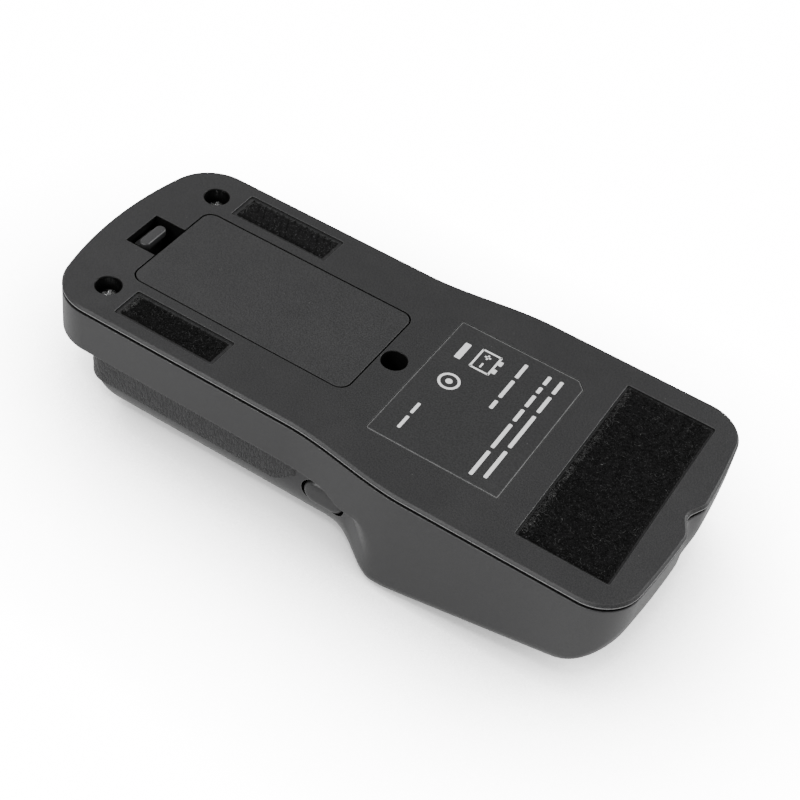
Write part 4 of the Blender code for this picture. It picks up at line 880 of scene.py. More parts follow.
@dataclass(frozen=True)
class TracedFinish(Finish):
    """Circuit board with solder mask over fine copper tracks."""

    track: float = 1.6 * MM

    def pattern(self, kit: NodeKit, base: bpy.types.NodeSocket) -> bpy.types.NodeSocket:
        """Lay the tracks and a scatter of tinned pads."""
        place = kit.place()
        tracks = kit.add("ShaderNodeTexBrick", {
            "Vector": place, "Scale": 1.0, "Mortar Size": 0.12 * MM, "Mortar Smooth": 0.1,
            "Brick Width": self.track * 3, "Row Height": self.track}).outputs["Fac"]
        pads = kit.add("ShaderNodeTexVoronoi", {"Vector": place, "Scale": 300.0}).outputs["Distance"]
        traced = kit.tint(base, opaque((0.06, 0.3, 0.12)), kit.math("MULTIPLY", tracks, 0.8))
        return kit.tint(traced, opaque((0.6, 0.58, 0.52)), kit.span(pads, 0.17, 0.13))


@dataclass(frozen=True)
class RibbonFinish(Finish):
    """Flat ribbon with conductors showing through its film."""

    pitch: float = 1.0 * MM

    def pattern(self, kit: NodeKit, base: bpy.types.NodeSocket) -> bpy.types.NodeSocket:
        """Lay the conductors side by side across the Y axis."""
        across = kit.add("ShaderNodeSeparateXYZ", {0: kit.place()}).outputs["Y"]
        wave = kit.math("PINGPONG", across, self.pitch / 2)
        return kit.tint(base, opaque((0.55, 0.36, 0.16)), kit.span(wave, self.pitch * 0.2, self.pitch * 0.3))


@dataclass(frozen=True)
class FabricFinish:
    """Brushed loops: dull, with a soft sheen and tone that changes from loop to loop."""

    name: str
    tone: Colour
    light_tone: Colour
    loop: float = 0.35 * MM
    sheen: float = 0.25

    def build(self, effects: SharedEffects) -> bpy.types.Material:
        """Make the material.

        Args:
            effects: Shared shader groups.

        Returns:
            The finished material.
        """
        material, kit, shader = blank_material(self.name)
        grain = kit.group(effects.grain, {"Grain Size": self.loop, "Mottle Size": self.loop * 9})
        strands = kit.span(kit.noise(kit.place(), 1.0 / self.loop, 2.0), 0.54, 0.8)
        share = kit.math("MULTIPLY", grain.outputs["Tone"], strands)
        colour = kit.tint(opaque(self.tone), opaque(self.light_tone), share)
        rough = kit.span(share, 0.0, 1.0, 0.95, 0.72)
        bump = kit.add("ShaderNodeBump", {
            "Height": grain.outputs["Height"], "Distance": 0.08 * MM, "Strength": 1.0})
        kit.feed(shader, {
            "Base Color": colour, "Roughness": rough, "Normal": bump.outputs[0],
            "Specular IOR Level": 0.2, "Sheen Weight": self.sheen, "Sheen Roughness": 0.5})
        return material


@dataclass(frozen=True)
class ClearFinish:
    """Clear or tinted moulding, glass or lens."""

    name: str
    tone: Colour
    roughness: float = 0.05
    transmission: float = 0.9

    def build(self, effects: SharedEffects) -> bpy.types.Material:
        """Make the material.

        Args:
            effects: Shared shader groups.

        Returns:
            The finished material.
        """
        material, kit, shader = blank_material(self.name)
        scuff = kit.group(effects.scuffs, {"Amount": 0.5})
        smears = kit.noise(kit.place(), 70.0, 4.0, 0.6)
        tint = kit.tint(opaque(self.tone), opaque(tuple(min(1.0, c * 1.12) for c in self.tone)), smears)
        rough = kit.math("ADD", kit.span(smears, 0.3, 0.8, self.roughness, self.roughness + 0.05),
                         kit.math("MULTIPLY", scuff.outputs["Mask"], 0.2), True)
        bump = kit.add("ShaderNodeBump", {"Height": smears, "Distance": 0.004 * MM, "Strength": 0.5})
        kit.feed(shader, {
            "Base Color": tint, "Roughness": rough, "Normal": bump.outputs[0],
            "Transmission Weight": self.transmission, "IOR": 1.49, "Emission Strength": 0.0})
        return material


def blank_material(name: str) -> tuple[bpy.types.Material, NodeKit, bpy.types.Node]:
    """New node material, with its kit and its Principled shader."""
    material = bpy.data.materials.new(name)
    material.use_nodes = True
    return material, NodeKit(material.node_tree), material.node_tree.nodes["Principled BSDF"]


class Finishes(Enum):
    """Every finish of the object."""

    CASE = Finish("case_plastic", (0.026, 0.026, 0.0265), (0.034, 0.034, 0.035), 0.36, 0.1, 0.35 * MM,
                  relief=0.012 * MM, wear_and_highlight=0.9, wear_and_highlight_tone=(0.14, 0.14, 0.14), dust=0.05, specular=0.4,
                  painted_shade=0.9)
    COVER = Finish("cover_plastic", (0.014, 0.014, 0.0145), (0.04, 0.04, 0.041), 0.5, 0.2, 0.3 * MM,
                   relief=0.045 * MM, wear_and_highlight=0.8, wear_and_highlight_tone=(0.11, 0.11, 0.11), specular=0.4, painted_shade=0.97)
    # Light grey band on the cover's rim: a painted highlight line.
    RIM_HIGHLIGHT = Finish("cover_rim_painted_highlight", (0.11, 0.11, 0.112), (0.2, 0.2, 0.202), 0.3, 0.12, 0.4 * MM,
                 relief=0.01 * MM, wear_and_highlight=0.5, wear_and_highlight_tone=(0.3, 0.3, 0.3))
    # Near-black faces inside the wells, the latch window and the slots: painted shade on smooth plastic.
    SHADED_WELL = Finish("well_painted_shade", (0.004, 0.004, 0.004), (0.007, 0.007, 0.007), 0.4, 0.1, 0.35 * MM,
                  relief=0.008 * MM, wear_and_highlight=0.0, dust=0.0, specular=0.25, painted_shade=0.9)
    DOOR = Finish("door_plastic", (0.016, 0.016, 0.0165), (0.046, 0.046, 0.047), 0.54, 0.2, 0.34 * MM,
                  relief=0.055 * MM, wear_and_highlight=0.4, wear_and_highlight_tone=(0.08, 0.08, 0.08), specular=0.4, painted_shade=0.7)
    LATCH = Finish("latch_plastic", (0.034, 0.034, 0.035), (0.048, 0.048, 0.049), 0.42, 0.12, 0.35 * MM,
                   wear_and_highlight=0.8, wear_and_highlight_tone=(0.14, 0.14, 0.14), painted_shade=0.5)
    BUTTON = Finish("button_rubber", (0.02, 0.02, 0.0205), (0.032, 0.032, 0.033), 0.42, 0.1, 0.3 * MM,
                    wear_and_highlight=0.3, painted_shade=0.5)
    GRIP = LeatherFinish("grip_rubber", (0.011, 0.011, 0.0115), (0.034, 0.034, 0.035), 0.42, 0.2,
                         relief=0.22 * MM, wear_and_highlight=0.7, wear_and_highlight_tone=(0.1, 0.1, 0.1), fold=0.8 * MM, painted_shade=0.5,
                         specular=0.4)
    PILE = FabricFinish("loop_pile", (0.001, 0.001, 0.001), (0.06, 0.06, 0.062), sheen=0.02)
    HOOKS = FabricFinish("hook_tape", (0.002, 0.002, 0.0021), (0.06, 0.06, 0.062), 0.5 * MM, 0.03)
    LINT = FabricFinish("stray_lint", (0.05, 0.05, 0.05), (0.3, 0.3, 0.29), 0.6 * MM, 0.1)
    LABEL = Finish("label_film", (0.024, 0.024, 0.0245), (0.038, 0.038, 0.039), 0.42, 0.12, 0.45 * MM,
                   relief=0.03 * MM, wear_and_highlight=1.0, wear_and_highlight_width=0.5 * MM, wear_and_highlight_tone=(0.3, 0.3, 0.3), specular=0.4)
    INK = Finish("label_ink", (0.94, 0.94, 0.94), (0.98, 0.98, 0.98), 0.5, 0.1, 0.25 * MM,
                 relief=0.004 * MM, wear_and_highlight=0.0)
    CHROME = Finish("screw_chrome", (0.7, 0.7, 0.7), (0.85, 0.85, 0.85), 0.14, 0.1, 0.3 * MM,
                    relief=0.006 * MM, wear_and_highlight=0.2, wear_and_highlight_tone=(0.9, 0.9, 0.9), metallic=1.0)
    SMALL_STEEL = Finish("small_screw_steel", (0.45, 0.45, 0.44), (0.62, 0.62, 0.6), 0.32, 0.14,
                         0.25 * MM, wear_and_highlight_tone=(0.8, 0.8, 0.8), metallic=1.0)
    CAN = Finish("crystal_can", (0.55, 0.55, 0.54), (0.7, 0.7, 0.69), 0.28, 0.14, 0.3 * MM,
                 wear_and_highlight_tone=(0.85, 0.85, 0.85), metallic=1.0)
    COPPER = Finish("sensor_copper", (0.6, 0.3, 0.14), (0.78, 0.46, 0.25), 0.32, 0.2, 0.5 * MM,
                    mottle=3 * MM, wear_and_highlight_tone=(0.9, 0.6, 0.4), metallic=1.0)
    BOARD = TracedFinish("circuit_board", (0.008, 0.075, 0.028), (0.012, 0.1, 0.04), 0.35, 0.1)
    CHIP = Finish("chip_epoxy", (0.012, 0.012, 0.013), (0.022, 0.022, 0.023), 0.55, 0.12, 0.25 * MM)
    BATTERY = BandedFinish("battery_wrap", (0.02, 0.022, 0.026), (0.032, 0.035, 0.04), 0.28, 0.08,
                           0.5 * MM, wear_and_highlight_tone=(0.4, 0.4, 0.4), band=(-34 * MM, -20 * MM),
                           band_tone=(0.5, 0.22, 0.05), coat=0.3)
    TERMINAL = Finish("terminal_nickel", (0.6, 0.57, 0.5), (0.75, 0.72, 0.66), 0.25, 0.14, 0.3 * MM,
                      wear_and_highlight_tone=(0.85, 0.83, 0.78), metallic=1.0)
    SNAP = Finish("snap_cap", (0.012, 0.012, 0.012), (0.022, 0.022, 0.022), 0.4, 0.12, 0.4 * MM)
    CAPACITOR = BandedFinish("capacitor_sleeve", (0.012, 0.02, 0.09), (0.02, 0.03, 0.13), 0.35, 0.1,
                             0.5 * MM, band=(3.6 * MM, 6 * MM), band_tone=(0.5, 0.52, 0.58), axis="Y")
    FOAM = Finish("door_foam", (0.035, 0.035, 0.037), (0.08, 0.08, 0.083), 0.95, 0.05, 0.6 * MM,
                  mottle=2 * MM, relief=0.25 * MM, wear_and_highlight=0.1, specular=0.2)
    LEAD_RED = Finish("lead_red", (0.4, 0.012, 0.01), (0.5, 0.02, 0.015), 0.42, 0.12, 0.5 * MM,
                      wear_and_highlight_tone=(0.6, 0.15, 0.12))
    LEAD_BLACK = Finish("lead_black", (0.012, 0.012, 0.012), (0.022, 0.022, 0.022), 0.42, 0.12, 0.5 * MM)
    FRAME = Finish("frame_plastic", (0.68, 0.68, 0.65), (0.76, 0.76, 0.73), 0.5, 0.12, 0.5 * MM,
                   wear_and_highlight_tone=(0.85, 0.85, 0.85))
    DIFFUSER = Finish("light_guide", (0.74, 0.76, 0.74), (0.82, 0.84, 0.82), 0.35, 0.1, 0.5 * MM,
                      wear_and_highlight_tone=(0.9, 0.9, 0.9))
    CONTACT = BandedFinish("contact_strip", (0.22, 0.22, 0.24), (0.3, 0.3, 0.32), 0.7, 0.1, 0.3 * MM,
                           band=(-1 * MM, 1 * MM), band_tone=(0.03, 0.03, 0.03), axis="Y")
    NYLON = Finish("plunger_nylon", (0.5, 0.5, 0.47), (0.6, 0.6, 0.57), 0.45, 0.12, 0.4 * MM)
    RIBBON = RibbonFinish("flex_film", (0.2, 0.09, 0.015), (0.3, 0.14, 0.03), 0.3, 0.08, 0.5 * MM)
    PRINT = Finish("window_border", (0.006, 0.006, 0.007), (0.012, 0.012, 0.013), 0.25, 0.08, 0.3 * MM,
                   relief=0.003 * MM, wear_and_highlight=0.0)
    SEGMENT = Finish("lcd_segment", (0.015, 0.018, 0.015), (0.03, 0.035, 0.03), 0.4, 0.1, 0.3 * MM,
                     wear_and_highlight=0.0)
    WINDOW = ClearFinish("window_acrylic", (0.9, 0.92, 0.92), 0.04, 1.0)
    GLASS = ClearFinish("lcd_glass", (0.34, 0.4, 0.3), 0.18, 0.25)
    LENS = ClearFinish("signal_lens", (0.75, 0.06, 0.03), 0.12, 0.55)


class Wardrobe:
    """Builds each finish the first time that a piece asks for it."""

    def __init__(self) -> None:
        """Start with the shared shader groups and no material."""
        self.effects = SharedEffects()
        self.made: dict[str, bpy.types.Material] = {}

    def get(self, finish: Finishes) -> bpy.types.Material:
        """The material of a finish."""
        if finish.name not in self.made:
            self.made[finish.name] = finish.value.build(self.effects)
        return self.made[finish.name]


# ---- Shared building of pieces -------------------------------------------------------------------
@dataclass
class Assembly:
    """Group of pieces that is built and dressed together."""

    wardrobe: Wardrobe

    def place(self, item: bpy.types.Object, body: Body, slot: str, *replaced: str) -> bpy.types.Object:
        """Give a piece its body and hide the nodes that it stands for.

        Args:
            item: The piece.
            body: Body that it rides on.
            slot: Not used.
            replaced: Nodes that it stands for.

        Returns:
            The piece.
        """
        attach(item, body.value)
        if replaced:
            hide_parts(*replaced)
        LOG.info("%s: %d faces", item.name, len(item.data.polygons))
        return item

    def make(self, name: str, shape: bmesh.types.BMesh, finish: Finishes, slot: str, *replaced: str,
             body: Body = Body.ROOT, sharp: float = 35.0, even: bool = True) -> bpy.types.Object:
        """Publish a mesh in its finish and place it as a piece.

        Args:
            name: Name of the piece.
            shape: The mesh in the making.
            finish: Its finish.
            slot: Material slot.
            replaced: Nodes that it stands for.
            body: Body that it rides on.
            sharp: Angle above which edges stay crisp, in degrees.
            even: Weight the shading by face size.

        Returns:
            The piece.
        """
        item = publish(name, shape, self.wardrobe.get(finish), sharp, even)
        return self.place(item, body, slot, *replaced)

    def tool(self, name: str, shape: bmesh.types.BMesh,
             finish: Finishes = Finishes.CASE) -> bpy.types.Object:
        """Mesh that is joined to a piece or cut from it; its faces keep a finish that the piece has."""
        return publish(name, shape, self.wardrobe.get(finish), even=False)


# ---- Places shared by several pieces -------------------------------------------------------------
@dataclass(frozen=True)
class BayLayout:
    """Battery bay, its door and the screws around it."""

    door_start: float = -67.3 * MM
    door_end: float = -3.0 * MM
    door_half: float = 16.45 * MM
    door_corner: float = 3.0 * MM
    door_thickness: float = 2.0 * MM
    door_gap: float = 0.4 * MM
    well_start: float = -65.0 * MM
    well_end: float = -5.0 * MM
    well_half: float = 13.75 * MM
    well_bottom: float = 14.6 * MM
    tab_places: tuple[float, float] = (9 * MM, -9 * MM)
    window_length: float = 9.6 * MM
    window_half: float = 6.4 * MM
    latch_floor: float = 25 * MM
    end_screws: tuple[float, float] = (-69.4 * MM, 22.9 * MM)
    centre_screw: float = 1.3 * MM
    end_seat: float = 31 * MM
    centre_seat: float = 16 * MM
    counterbore: float = 6.8 * MM

    def screws(self) -> list[tuple[str, float, float, float]]:
        """Name, place and seat height of each housing screw."""
        x, y = self.end_screws
        return [
            ("housing_screw_right", x, y, self.end_seat),
            ("housing_screw_left", x, -y, self.end_seat),
            ("housing_screw_centre", self.centre_screw, 0.0, self.centre_seat),
        ]


BAY = BayLayout()


# ---- Front housing -------------------------------------------------------------------------------
@dataclass
class FrontHousing(Assembly):
    """Tub with its overhanging skirt, concave flanks and sloping display face."""

    wall: float = 2.4 * MM
    front_wall: float = 2.2 * MM
    end_extra: float = 2.6 * MM
    grip_extra: float = 1.0 * MM
    seam: float = 2.05 * MM
    rim_edge: float = 0.25 * MM
    lip: float = 0.8 * MM
    lip_flank: float = 9 * MM
    fade: tuple[float, float] = (8 * MM, 20 * MM)
    lip_steps: int = 10
    turn_steps: int = 14
    window: tuple[float, float] = (31.6 * MM, 47.6 * MM)
    window_shift: float = 3 * MM
    mode_shift: float = -20.55 * MM
    mode_hole: float = 9.7 * MM
    light_y: float = 12 * MM
    scan_hole: tuple[float, float] = (13.0 * MM, 7.9 * MM)
    scan_place: tuple[float, float] = (3.02 * MM, 13.55 * MM)

    def build(self) -> None:
        """Build the housing."""
        housing = publish(
            "case_front", self._shell(), self.wardrobe.get(Finishes.CASE), sharp=32, even=False)
        carve(housing, self._cuts(), sharp=32)
        self.place(housing, Body.ROOT, "black_plastic", "front_housing")

    def _blend(self, share: float) -> Points:
        """Ring across the skirt's underside, from its outer edge (0) to the body (1).

        The lip is small along the handle and swells into a soft fall along the flank.
        """
        def level(station: Station) -> float:
            lowest = FORM.skirt_level(station)
            room = (BACK - self.seam - lowest) * 0.5
            soft = ease(station.x, *self.fade)
            return lowest + min(mix(self.lip, self.lip_flank, soft), room) * (1 - share)

        ring = []
        for outer, inner in zip(skirt_outline().ring(level), body_outline().ring(level)):
            soft = ease(outer.x, *self.fade)
            ring.append(outer.lerp(inner, mix(1 - (1 - share) ** 2.6, ease(share, 0.0, 1.0), soft)))
        return ring

    def _shell(self) -> bmesh.types.BMesh:
        """Outer face from the rim down and round the front, then the inner face."""
        rim = BACK - self.seam
        body = RingBody(skirt_outline(self.wall, self.end_extra).ring(lambda s: rim))
        for step in range(5):
            turn = step * math.pi / 8
            inset = self.rim_edge * (1 - math.sin(turn))
            level = rim - self.rim_edge * (1 - math.cos(turn))
            body.grow(skirt_outline(inset).ring(lambda s, level=level: level))
        outer = skirt_outline()
        falls = {(s.x, s.y): p.z for s, p in zip(outer.half, self._blend(0.0))}
        for step in range(1, 9):
            share = step / 8

            def level(station: Station, share: float = share) -> float:
                return mix(rim - self.rim_edge, falls[(station.x, station.y)], share)

            body.grow(outer.ring(level))
        for step in range(1, self.lip_steps + 1):
            body.grow(self._blend(step / self.lip_steps))
        for step in range(self.turn_steps + 1):
            turn = math.pi / 2 * step / self.turn_steps
            body.grow(body_outline(turn).ring(FORM.rounded(turn)))
        body.cap_across()
        return self._inside(body, rim)

    def _inside(self, body: RingBody, rim: float) -> bmesh.types.BMesh:
        """Inner face, from the front wall back up to the rim."""
        kept, end_kept = self.wall + self.grip_extra, self.wall + self.end_extra
        rows = []
        for turn in (math.pi / 2, math.pi / 4, 0.0):
            rows.append(body_outline(turn, kept, end_kept).ring(FORM.rounded(turn, self.front_wall)))

        def floor(station: Station) -> float:
            return max(FORM.skirt_level(station), FORM.rounded(0.0)(station)) + self.front_wall

        rows.append(body_outline(0.0, kept, end_kept).ring(floor))
        rows.append(skirt_outline(self.wall, self.end_extra).ring(floor))
        rows.append(skirt_outline(self.wall, self.end_extra).ring(lambda s: rim))
        cavity = RingBody(rows[0]).cap_across()
        for row in rows[1:]:
            cavity.grow(row)
        absorb(body.shape, cavity.shape)
        return body.shape

    def _cuts(self) -> list[tuple[str, bpy.types.Object]]:
        """Openings for the window, the buttons and the signal lights."""
        inward = DISPLAY_PLACE @ Matrix.Rotation(math.pi, 4, "X")
        length, width = self.window
        shift = (self.window_shift, 0.0)
        shapes = {
            "window_seat": pocket(length, width, 3 * MM, -1.8 * MM, 0.0, 0.3 * MM, shift),
            "window_opening": slab(
                length - 4.6 * MM, width - 4.6 * MM, 2 * MM, -4.4 * MM, 0.0, 0.0, shift),
            "mode_hole": pocket(
                self.mode_hole, self.mode_hole, self.mode_hole / 2, -4.4 * MM, 0.0, 0.35 * MM,
                (self.mode_shift, 0.0)),
        }
        for hand in (1, -1):
            shapes[f"light_hole_{hand + 1}"] = pocket(
                3.5 * MM, 3.5 * MM, 1.75 * MM, -4.4 * MM, 0.0, 0.25 * MM,
                (self.mode_shift, hand * self.light_y))
        steps = [("DIFFERENCE", self.tool(name, moved(shape, inward))) for name, shape in shapes.items()]
        x, z = self.scan_place
        side = Matrix.Translation((x, -FORM.body_half(x) - 2 * MM, z)) @ Matrix.Rotation(math.pi / 2, 4, "X")
        length, height = self.scan_hole
        hole = slab(length, height, height / 2, -9 * MM, 3 * MM, segments=14)
        steps.append(("DIFFERENCE", self.tool("scan_hole", moved(hole, side))))
        return steps


# ---- Rear cover ----------------------------------------------------------------------------------
@dataclass
class RearCover(Assembly):
    """Flat wall-contact cover with its chamfered rim, battery bay, screw wells and recesses."""

    seam: float = 1.9 * MM
    groove: float = 1.1 * MM
    thickness: float = 2.4 * MM
    lip_height: float = 4.0 * MM
    side: float = 2.4 * MM
    end_extra: float = 2.6 * MM
    flare: float = 0.16 * MM
    pad_depth: float = 0.5 * MM
    label_depth: float = 0.6 * MM
    head_pad: tuple[float, float, float] = (24.3 * MM, 60 * MM, 64.25 * MM)
    side_pad: tuple[float, float, float] = (29.7 * MM, 9.7 * MM, -47.55 * MM)
    side_pad_y: float = 24.65 * MM
    highlight_band: tuple[float, float] = (0.98 * MM, 0.6 * MM)
    rim_profile: tuple[tuple[float, float], ...] = (
        (0.72 * MM, 0.0), (0.62 * MM, 0.015 * MM), (0.55 * MM, 0.06 * MM), (0.14 * MM, 0.44 * MM),
        (0.06 * MM, 0.54 * MM), (0.015 * MM, 0.64 * MM), (0.0, 0.76 * MM), (0.0, 0.95 * MM),
        (0.03 * MM, 1.0 * MM))

    def build(self) -> None:
        """Build the cover."""
        cover = publish("case_back", self._plate(), self.wardrobe.get(Finishes.COVER), even=False)
        for finish in (Finishes.RIM_HIGHLIGHT, Finishes.SHADED_WELL):
            cover.data.materials.append(self.wardrobe.get(finish))
        # Faces in the rim's highlight band take the light rim finish, a painted highlight line.
        low, high = (BACK - depth for depth in self.highlight_band)
        for face in cover.data.polygons:
            if low < face.center.z < high:
                face.material_index = 1
        carve(cover, self._joined() + self._cuts(), sharp=38)
        self.place(cover, Body.ROOT, "cover_plastic", "rear_cover")

    def _plate(self) -> bmesh.types.BMesh:
        """Plate with its rim, shadow groove and locating lip."""
        rows = [(skirt_outline(inset), BACK - depth) for inset, depth in self.rim_profile]
        seat = BACK - self.seam + GAP
        inner = self.side + GAP
        wall = inner + 1.2 * MM
        rows += [
            (skirt_outline(self.groove), BACK - 1.0 * MM),
            (skirt_outline(self.groove), seat),
            (skirt_outline(inner, self.end_extra), seat),
            (skirt_outline(inner, self.end_extra), BACK - self.lip_height),
            (skirt_outline(wall, self.end_extra), BACK - self.lip_height),
            (skirt_outline(wall, self.end_extra), BACK - self.thickness),
        ]
        body = None
        for outline, level in rows:
            ring = outline.ring(lambda s, level=level: level)
            if body is None:
                body = RingBody(ring).cap()
            else:
                body.grow(ring)
        return body.cap().shape

    def _joined(self) -> list[tuple[str, bpy.types.Object]]:
        """Walls of the battery well, the latch pocket and the screw tubes."""
        lower = BACK - self.thickness / 2
        wall = 1.6 * MM
        start, end, half = BAY.well_start, BAY.well_end, BAY.well_half
        door_length = BAY.door_end - BAY.door_start
        centre = ((BAY.door_end + BAY.door_start) / 2, 0.0)
        shapes = {
            "door_surround": slab(
                door_length + 4 * MM, 2 * BAY.door_half + 4 * MM, BAY.door_corner + 2 * MM,
                31.5 * MM, lower, centre=centre),
            "well_outside": block(
                (start - wall, -half - wall, BAY.well_bottom - wall),
                (end + wall, half + wall, 32.5 * MM), 0.5 * MM),
            "latch_outside": block(
                (BAY.door_start - BAY.window_length - 4 * MM, -BAY.window_half - wall,
                 BAY.latch_floor - wall), (start, BAY.window_half + wall, lower), 0.3 * MM),
        }
        radius = BAY.counterbore / 2 + 1.4 * MM
        for name, x, y, seat in BAY.screws():
            profile = ((0, seat - wall), (radius, seat - wall), (radius, lower), (0, lower))
            shapes[name + "_tube"] = lathe(profile, (x, y, 0))
        return [("UNION", self.tool(name, shape)) for name, shape in shapes.items()]

    def _cuts(self) -> list[tuple[str, bpy.types.Object]]:
        """Openings and recesses."""
        gap = BAY.door_gap
        length = BAY.door_end - BAY.door_start + 2 * gap
        width = 2 * BAY.door_half + 2 * gap
        centre = ((BAY.door_end + BAY.door_start) / 2, 0.0)
        start, end, half = BAY.well_start, BAY.well_end, BAY.well_half
        window_start = BAY.door_start - BAY.window_length
        side = BAY.window_half
        floor = BAY.latch_floor
        shapes = {
            "door_opening": pocket(
                length, width, BAY.door_corner + gap, BACK - BAY.door_thickness - GAP, BACK, 0.12 * MM,
                centre),
            "well_inside": block((start, -half, BAY.well_bottom), (end, half, BACK + MM)),
            "latch_window": pocket(
                BAY.window_length, 2 * side, 0.25 * MM, floor, BACK, 0.08 * MM,
                (BAY.door_start - BAY.window_length / 2, 0.0)),
            "latch_catch": block(
                (window_start - 2.4 * MM, -side, floor), (window_start + MM, side, BACK - self.thickness)),
            "latch_link": block(
                (BAY.door_start - MM, -4.9 * MM, floor), (start + MM, 4.9 * MM, 34.7 * MM)),
            "lead_slot": block(
                (end - MM, 4.5 * MM, BAY.well_bottom + MM),
                (end + 2.6 * MM, 11.5 * MM, BAY.well_bottom + 5 * MM)),
        }
        for index, y in enumerate(BAY.tab_places):
            low, high = y - 2.1 * MM, y + 2.1 * MM
            shapes[f"tab_slot_{index}"] = block(
                (end - MM, low, 29 * MM), (BAY.door_end + 3.2 * MM, high, BACK - self.thickness))
            shapes[f"tab_path_{index}"] = block((end - MM, low, 30 * MM), (BAY.door_end, high, 34.7 * MM))
        for name, x, y, seat in BAY.screws():
            bore = BAY.counterbore
            shapes[name + "_well"] = pocket(bore, bore, bore / 2, seat, BACK, 0.25 * MM, (x, y), 12)
            shapes[name + "_bore"] = slab(
                3.5 * MM, 3.5 * MM, 1.75 * MM, seat - 3.2 * MM, seat + MM, centre=(x, y))
        # Faces cut by these tools take the near-black finish of painted shade.
        steps = [("DIFFERENCE", self.tool(name, shape, Finishes.SHADED_WELL)) for name, shape in shapes.items()]
        recesses = self._recesses().items()
        return steps + [("DIFFERENCE", self.tool(name, shape, Finishes.COVER)) for name, shape in recesses]

    def _recesses(self) -> dict[str, bmesh.types.BMesh]:
        """Shallow seats for the pads and the label."""
        floor = BACK - self.pad_depth
        length, width, x = self.head_pad
        shapes = {"head_seat": pocket(length, width, 0.6 * MM, floor, BACK, self.flare, (x, 0.0))}
        length, width, x = self.side_pad
        for hand in (1, -1):
            shapes[f"side_seat_{hand + 1}"] = pocket(
                length, width, 0.6 * MM, floor, BACK, self.flare, (x, hand * self.side_pad_y))
        shapes["label_seat"] = BackLabel.form(0.14 * MM, BACK - self.label_depth, BACK + MM)
        return shapes


# ---- Grip ----------------------------------------------------------------------------------------
@dataclass
class GripSleeve(Assembly):
    """U-shaped rubber band around the handle, moulded with a wrinkled leather grain."""

    proud: float = 0.35 * MM
    thickness: float = 1.6 * MM
    bottom: float = 10.8 * MM
    top: float = 20.7 * MM
    end: float = -5.2 * MM
    step: float = 0.5 * MM
    rows: int = 24
    rim: float = 0.3 * MM
    fold_height: float = 0.13 * MM
    end_rise: float = 4.5 * MM

    def build(self) -> None:
        """Build the sleeve."""
        route = self._route()
        body = RingBody(self._section(route, 0)).cap()
        for index in range(1, len(route)):
            body.grow(self._section(route, index))
        body.cap()
        self.make(
            "grip_band", body.shape, Finishes.GRIP, "grip_rubber", "grip_sleeve", sharp=50, even=False)

    def _route(self) -> list[tuple[Vector, Vector]]:
        """Even steps along the band: a point on its outer face and the way inwards."""
        outer = body_outline(kept=-self.proud)
        inner = body_outline(kept=self.thickness - self.proud)
        pairs = []
        for far, near in zip(outer.half, inner.half):
            if far.x <= self.end:
                pairs.append((Vector((far.x, far.y, 0)), Vector((near.x - far.x, near.y - far.y, 0))))
        last = pairs[-1]
        pairs.append((Vector((self.end, last[0].y, 0)), last[1]))
        mirrored = [(Vector((p.x, -p.y, 0)), Vector((w.x, -w.y, 0))) for p, w in reversed(pairs[1:])]
        pairs = mirrored + pairs
        route = [pairs[0]]
        for (start, way_a), (stop, way_b) in zip(pairs, pairs[1:]):
            count = max(1, round((stop - start).length / self.step))
            for step in range(1, count + 1):
                share = step / count
                route.append((start.lerp(stop, share), way_a.lerp(way_b, share)))
        return route

    def _section(self, route: list[tuple[Vector, Vector]], index: int) -> Points:
        """Cross-section of the band, rounded at its rims and folded on its outer face.

        The band's two ends lean, so the section's height shrinks a little near them.
        """
        point, way = route[index]
        inward = way.normalized()
        from_end = min(index, len(route) - 1 - index) * self.step
        taper = ease(from_end, 0.0, 1.2 * MM)
        low = mix(self.bottom + self.end_rise, self.bottom, ease(from_end, 0.0, 7 * MM))
        high = mix(self.top - 1.2 * MM, self.top, ease(from_end, 0.0, 3 * MM))
        section = [(self.thickness, low)]
        section += [(self.rim * (1 - math.sin(a)), low + self.rim * (1 - math.cos(a)))
                    for a in (0.0, math.pi / 6, math.pi / 3)]
        for row in range(self.rows + 1):
            level = mix(low + self.rim, high - self.rim, row / self.rows)
            section.append((-self._fold(point, level) * taper, level))
        section += [(self.rim * (1 - math.cos(a)), high - self.rim * (1 - math.sin(a)))
                    for a in (math.pi / 6, math.pi / 3, math.pi / 2)]
        section.append((self.thickness, high))
        sink = (1 - taper) * 0.35 * MM
        return [point + inward * max(-0.2 * MM, depth + (sink if depth < self.thickness else 0.0))
                + Vector((0, 0, level)) for depth, level in section]

    def _fold(self, point: Vector, level: float) -> float:
        """Height of the moulded folds at a place on the outer face."""
        near_rim = min(level - self.bottom, self.top - level)
        place = Vector((point.x, point.y, level * 0.4)) / (0.95 * MM)
        broad = 1 - abs(noise.noise(place)) * 2.2
        fine = noise.noise(place * 2.3 + Vector((7, 3, 1))) * 0.45
        return self.fold_height * (broad * 0.6 + fine) * ease(near_rim, 0.3 * MM, 1.4 * MM)


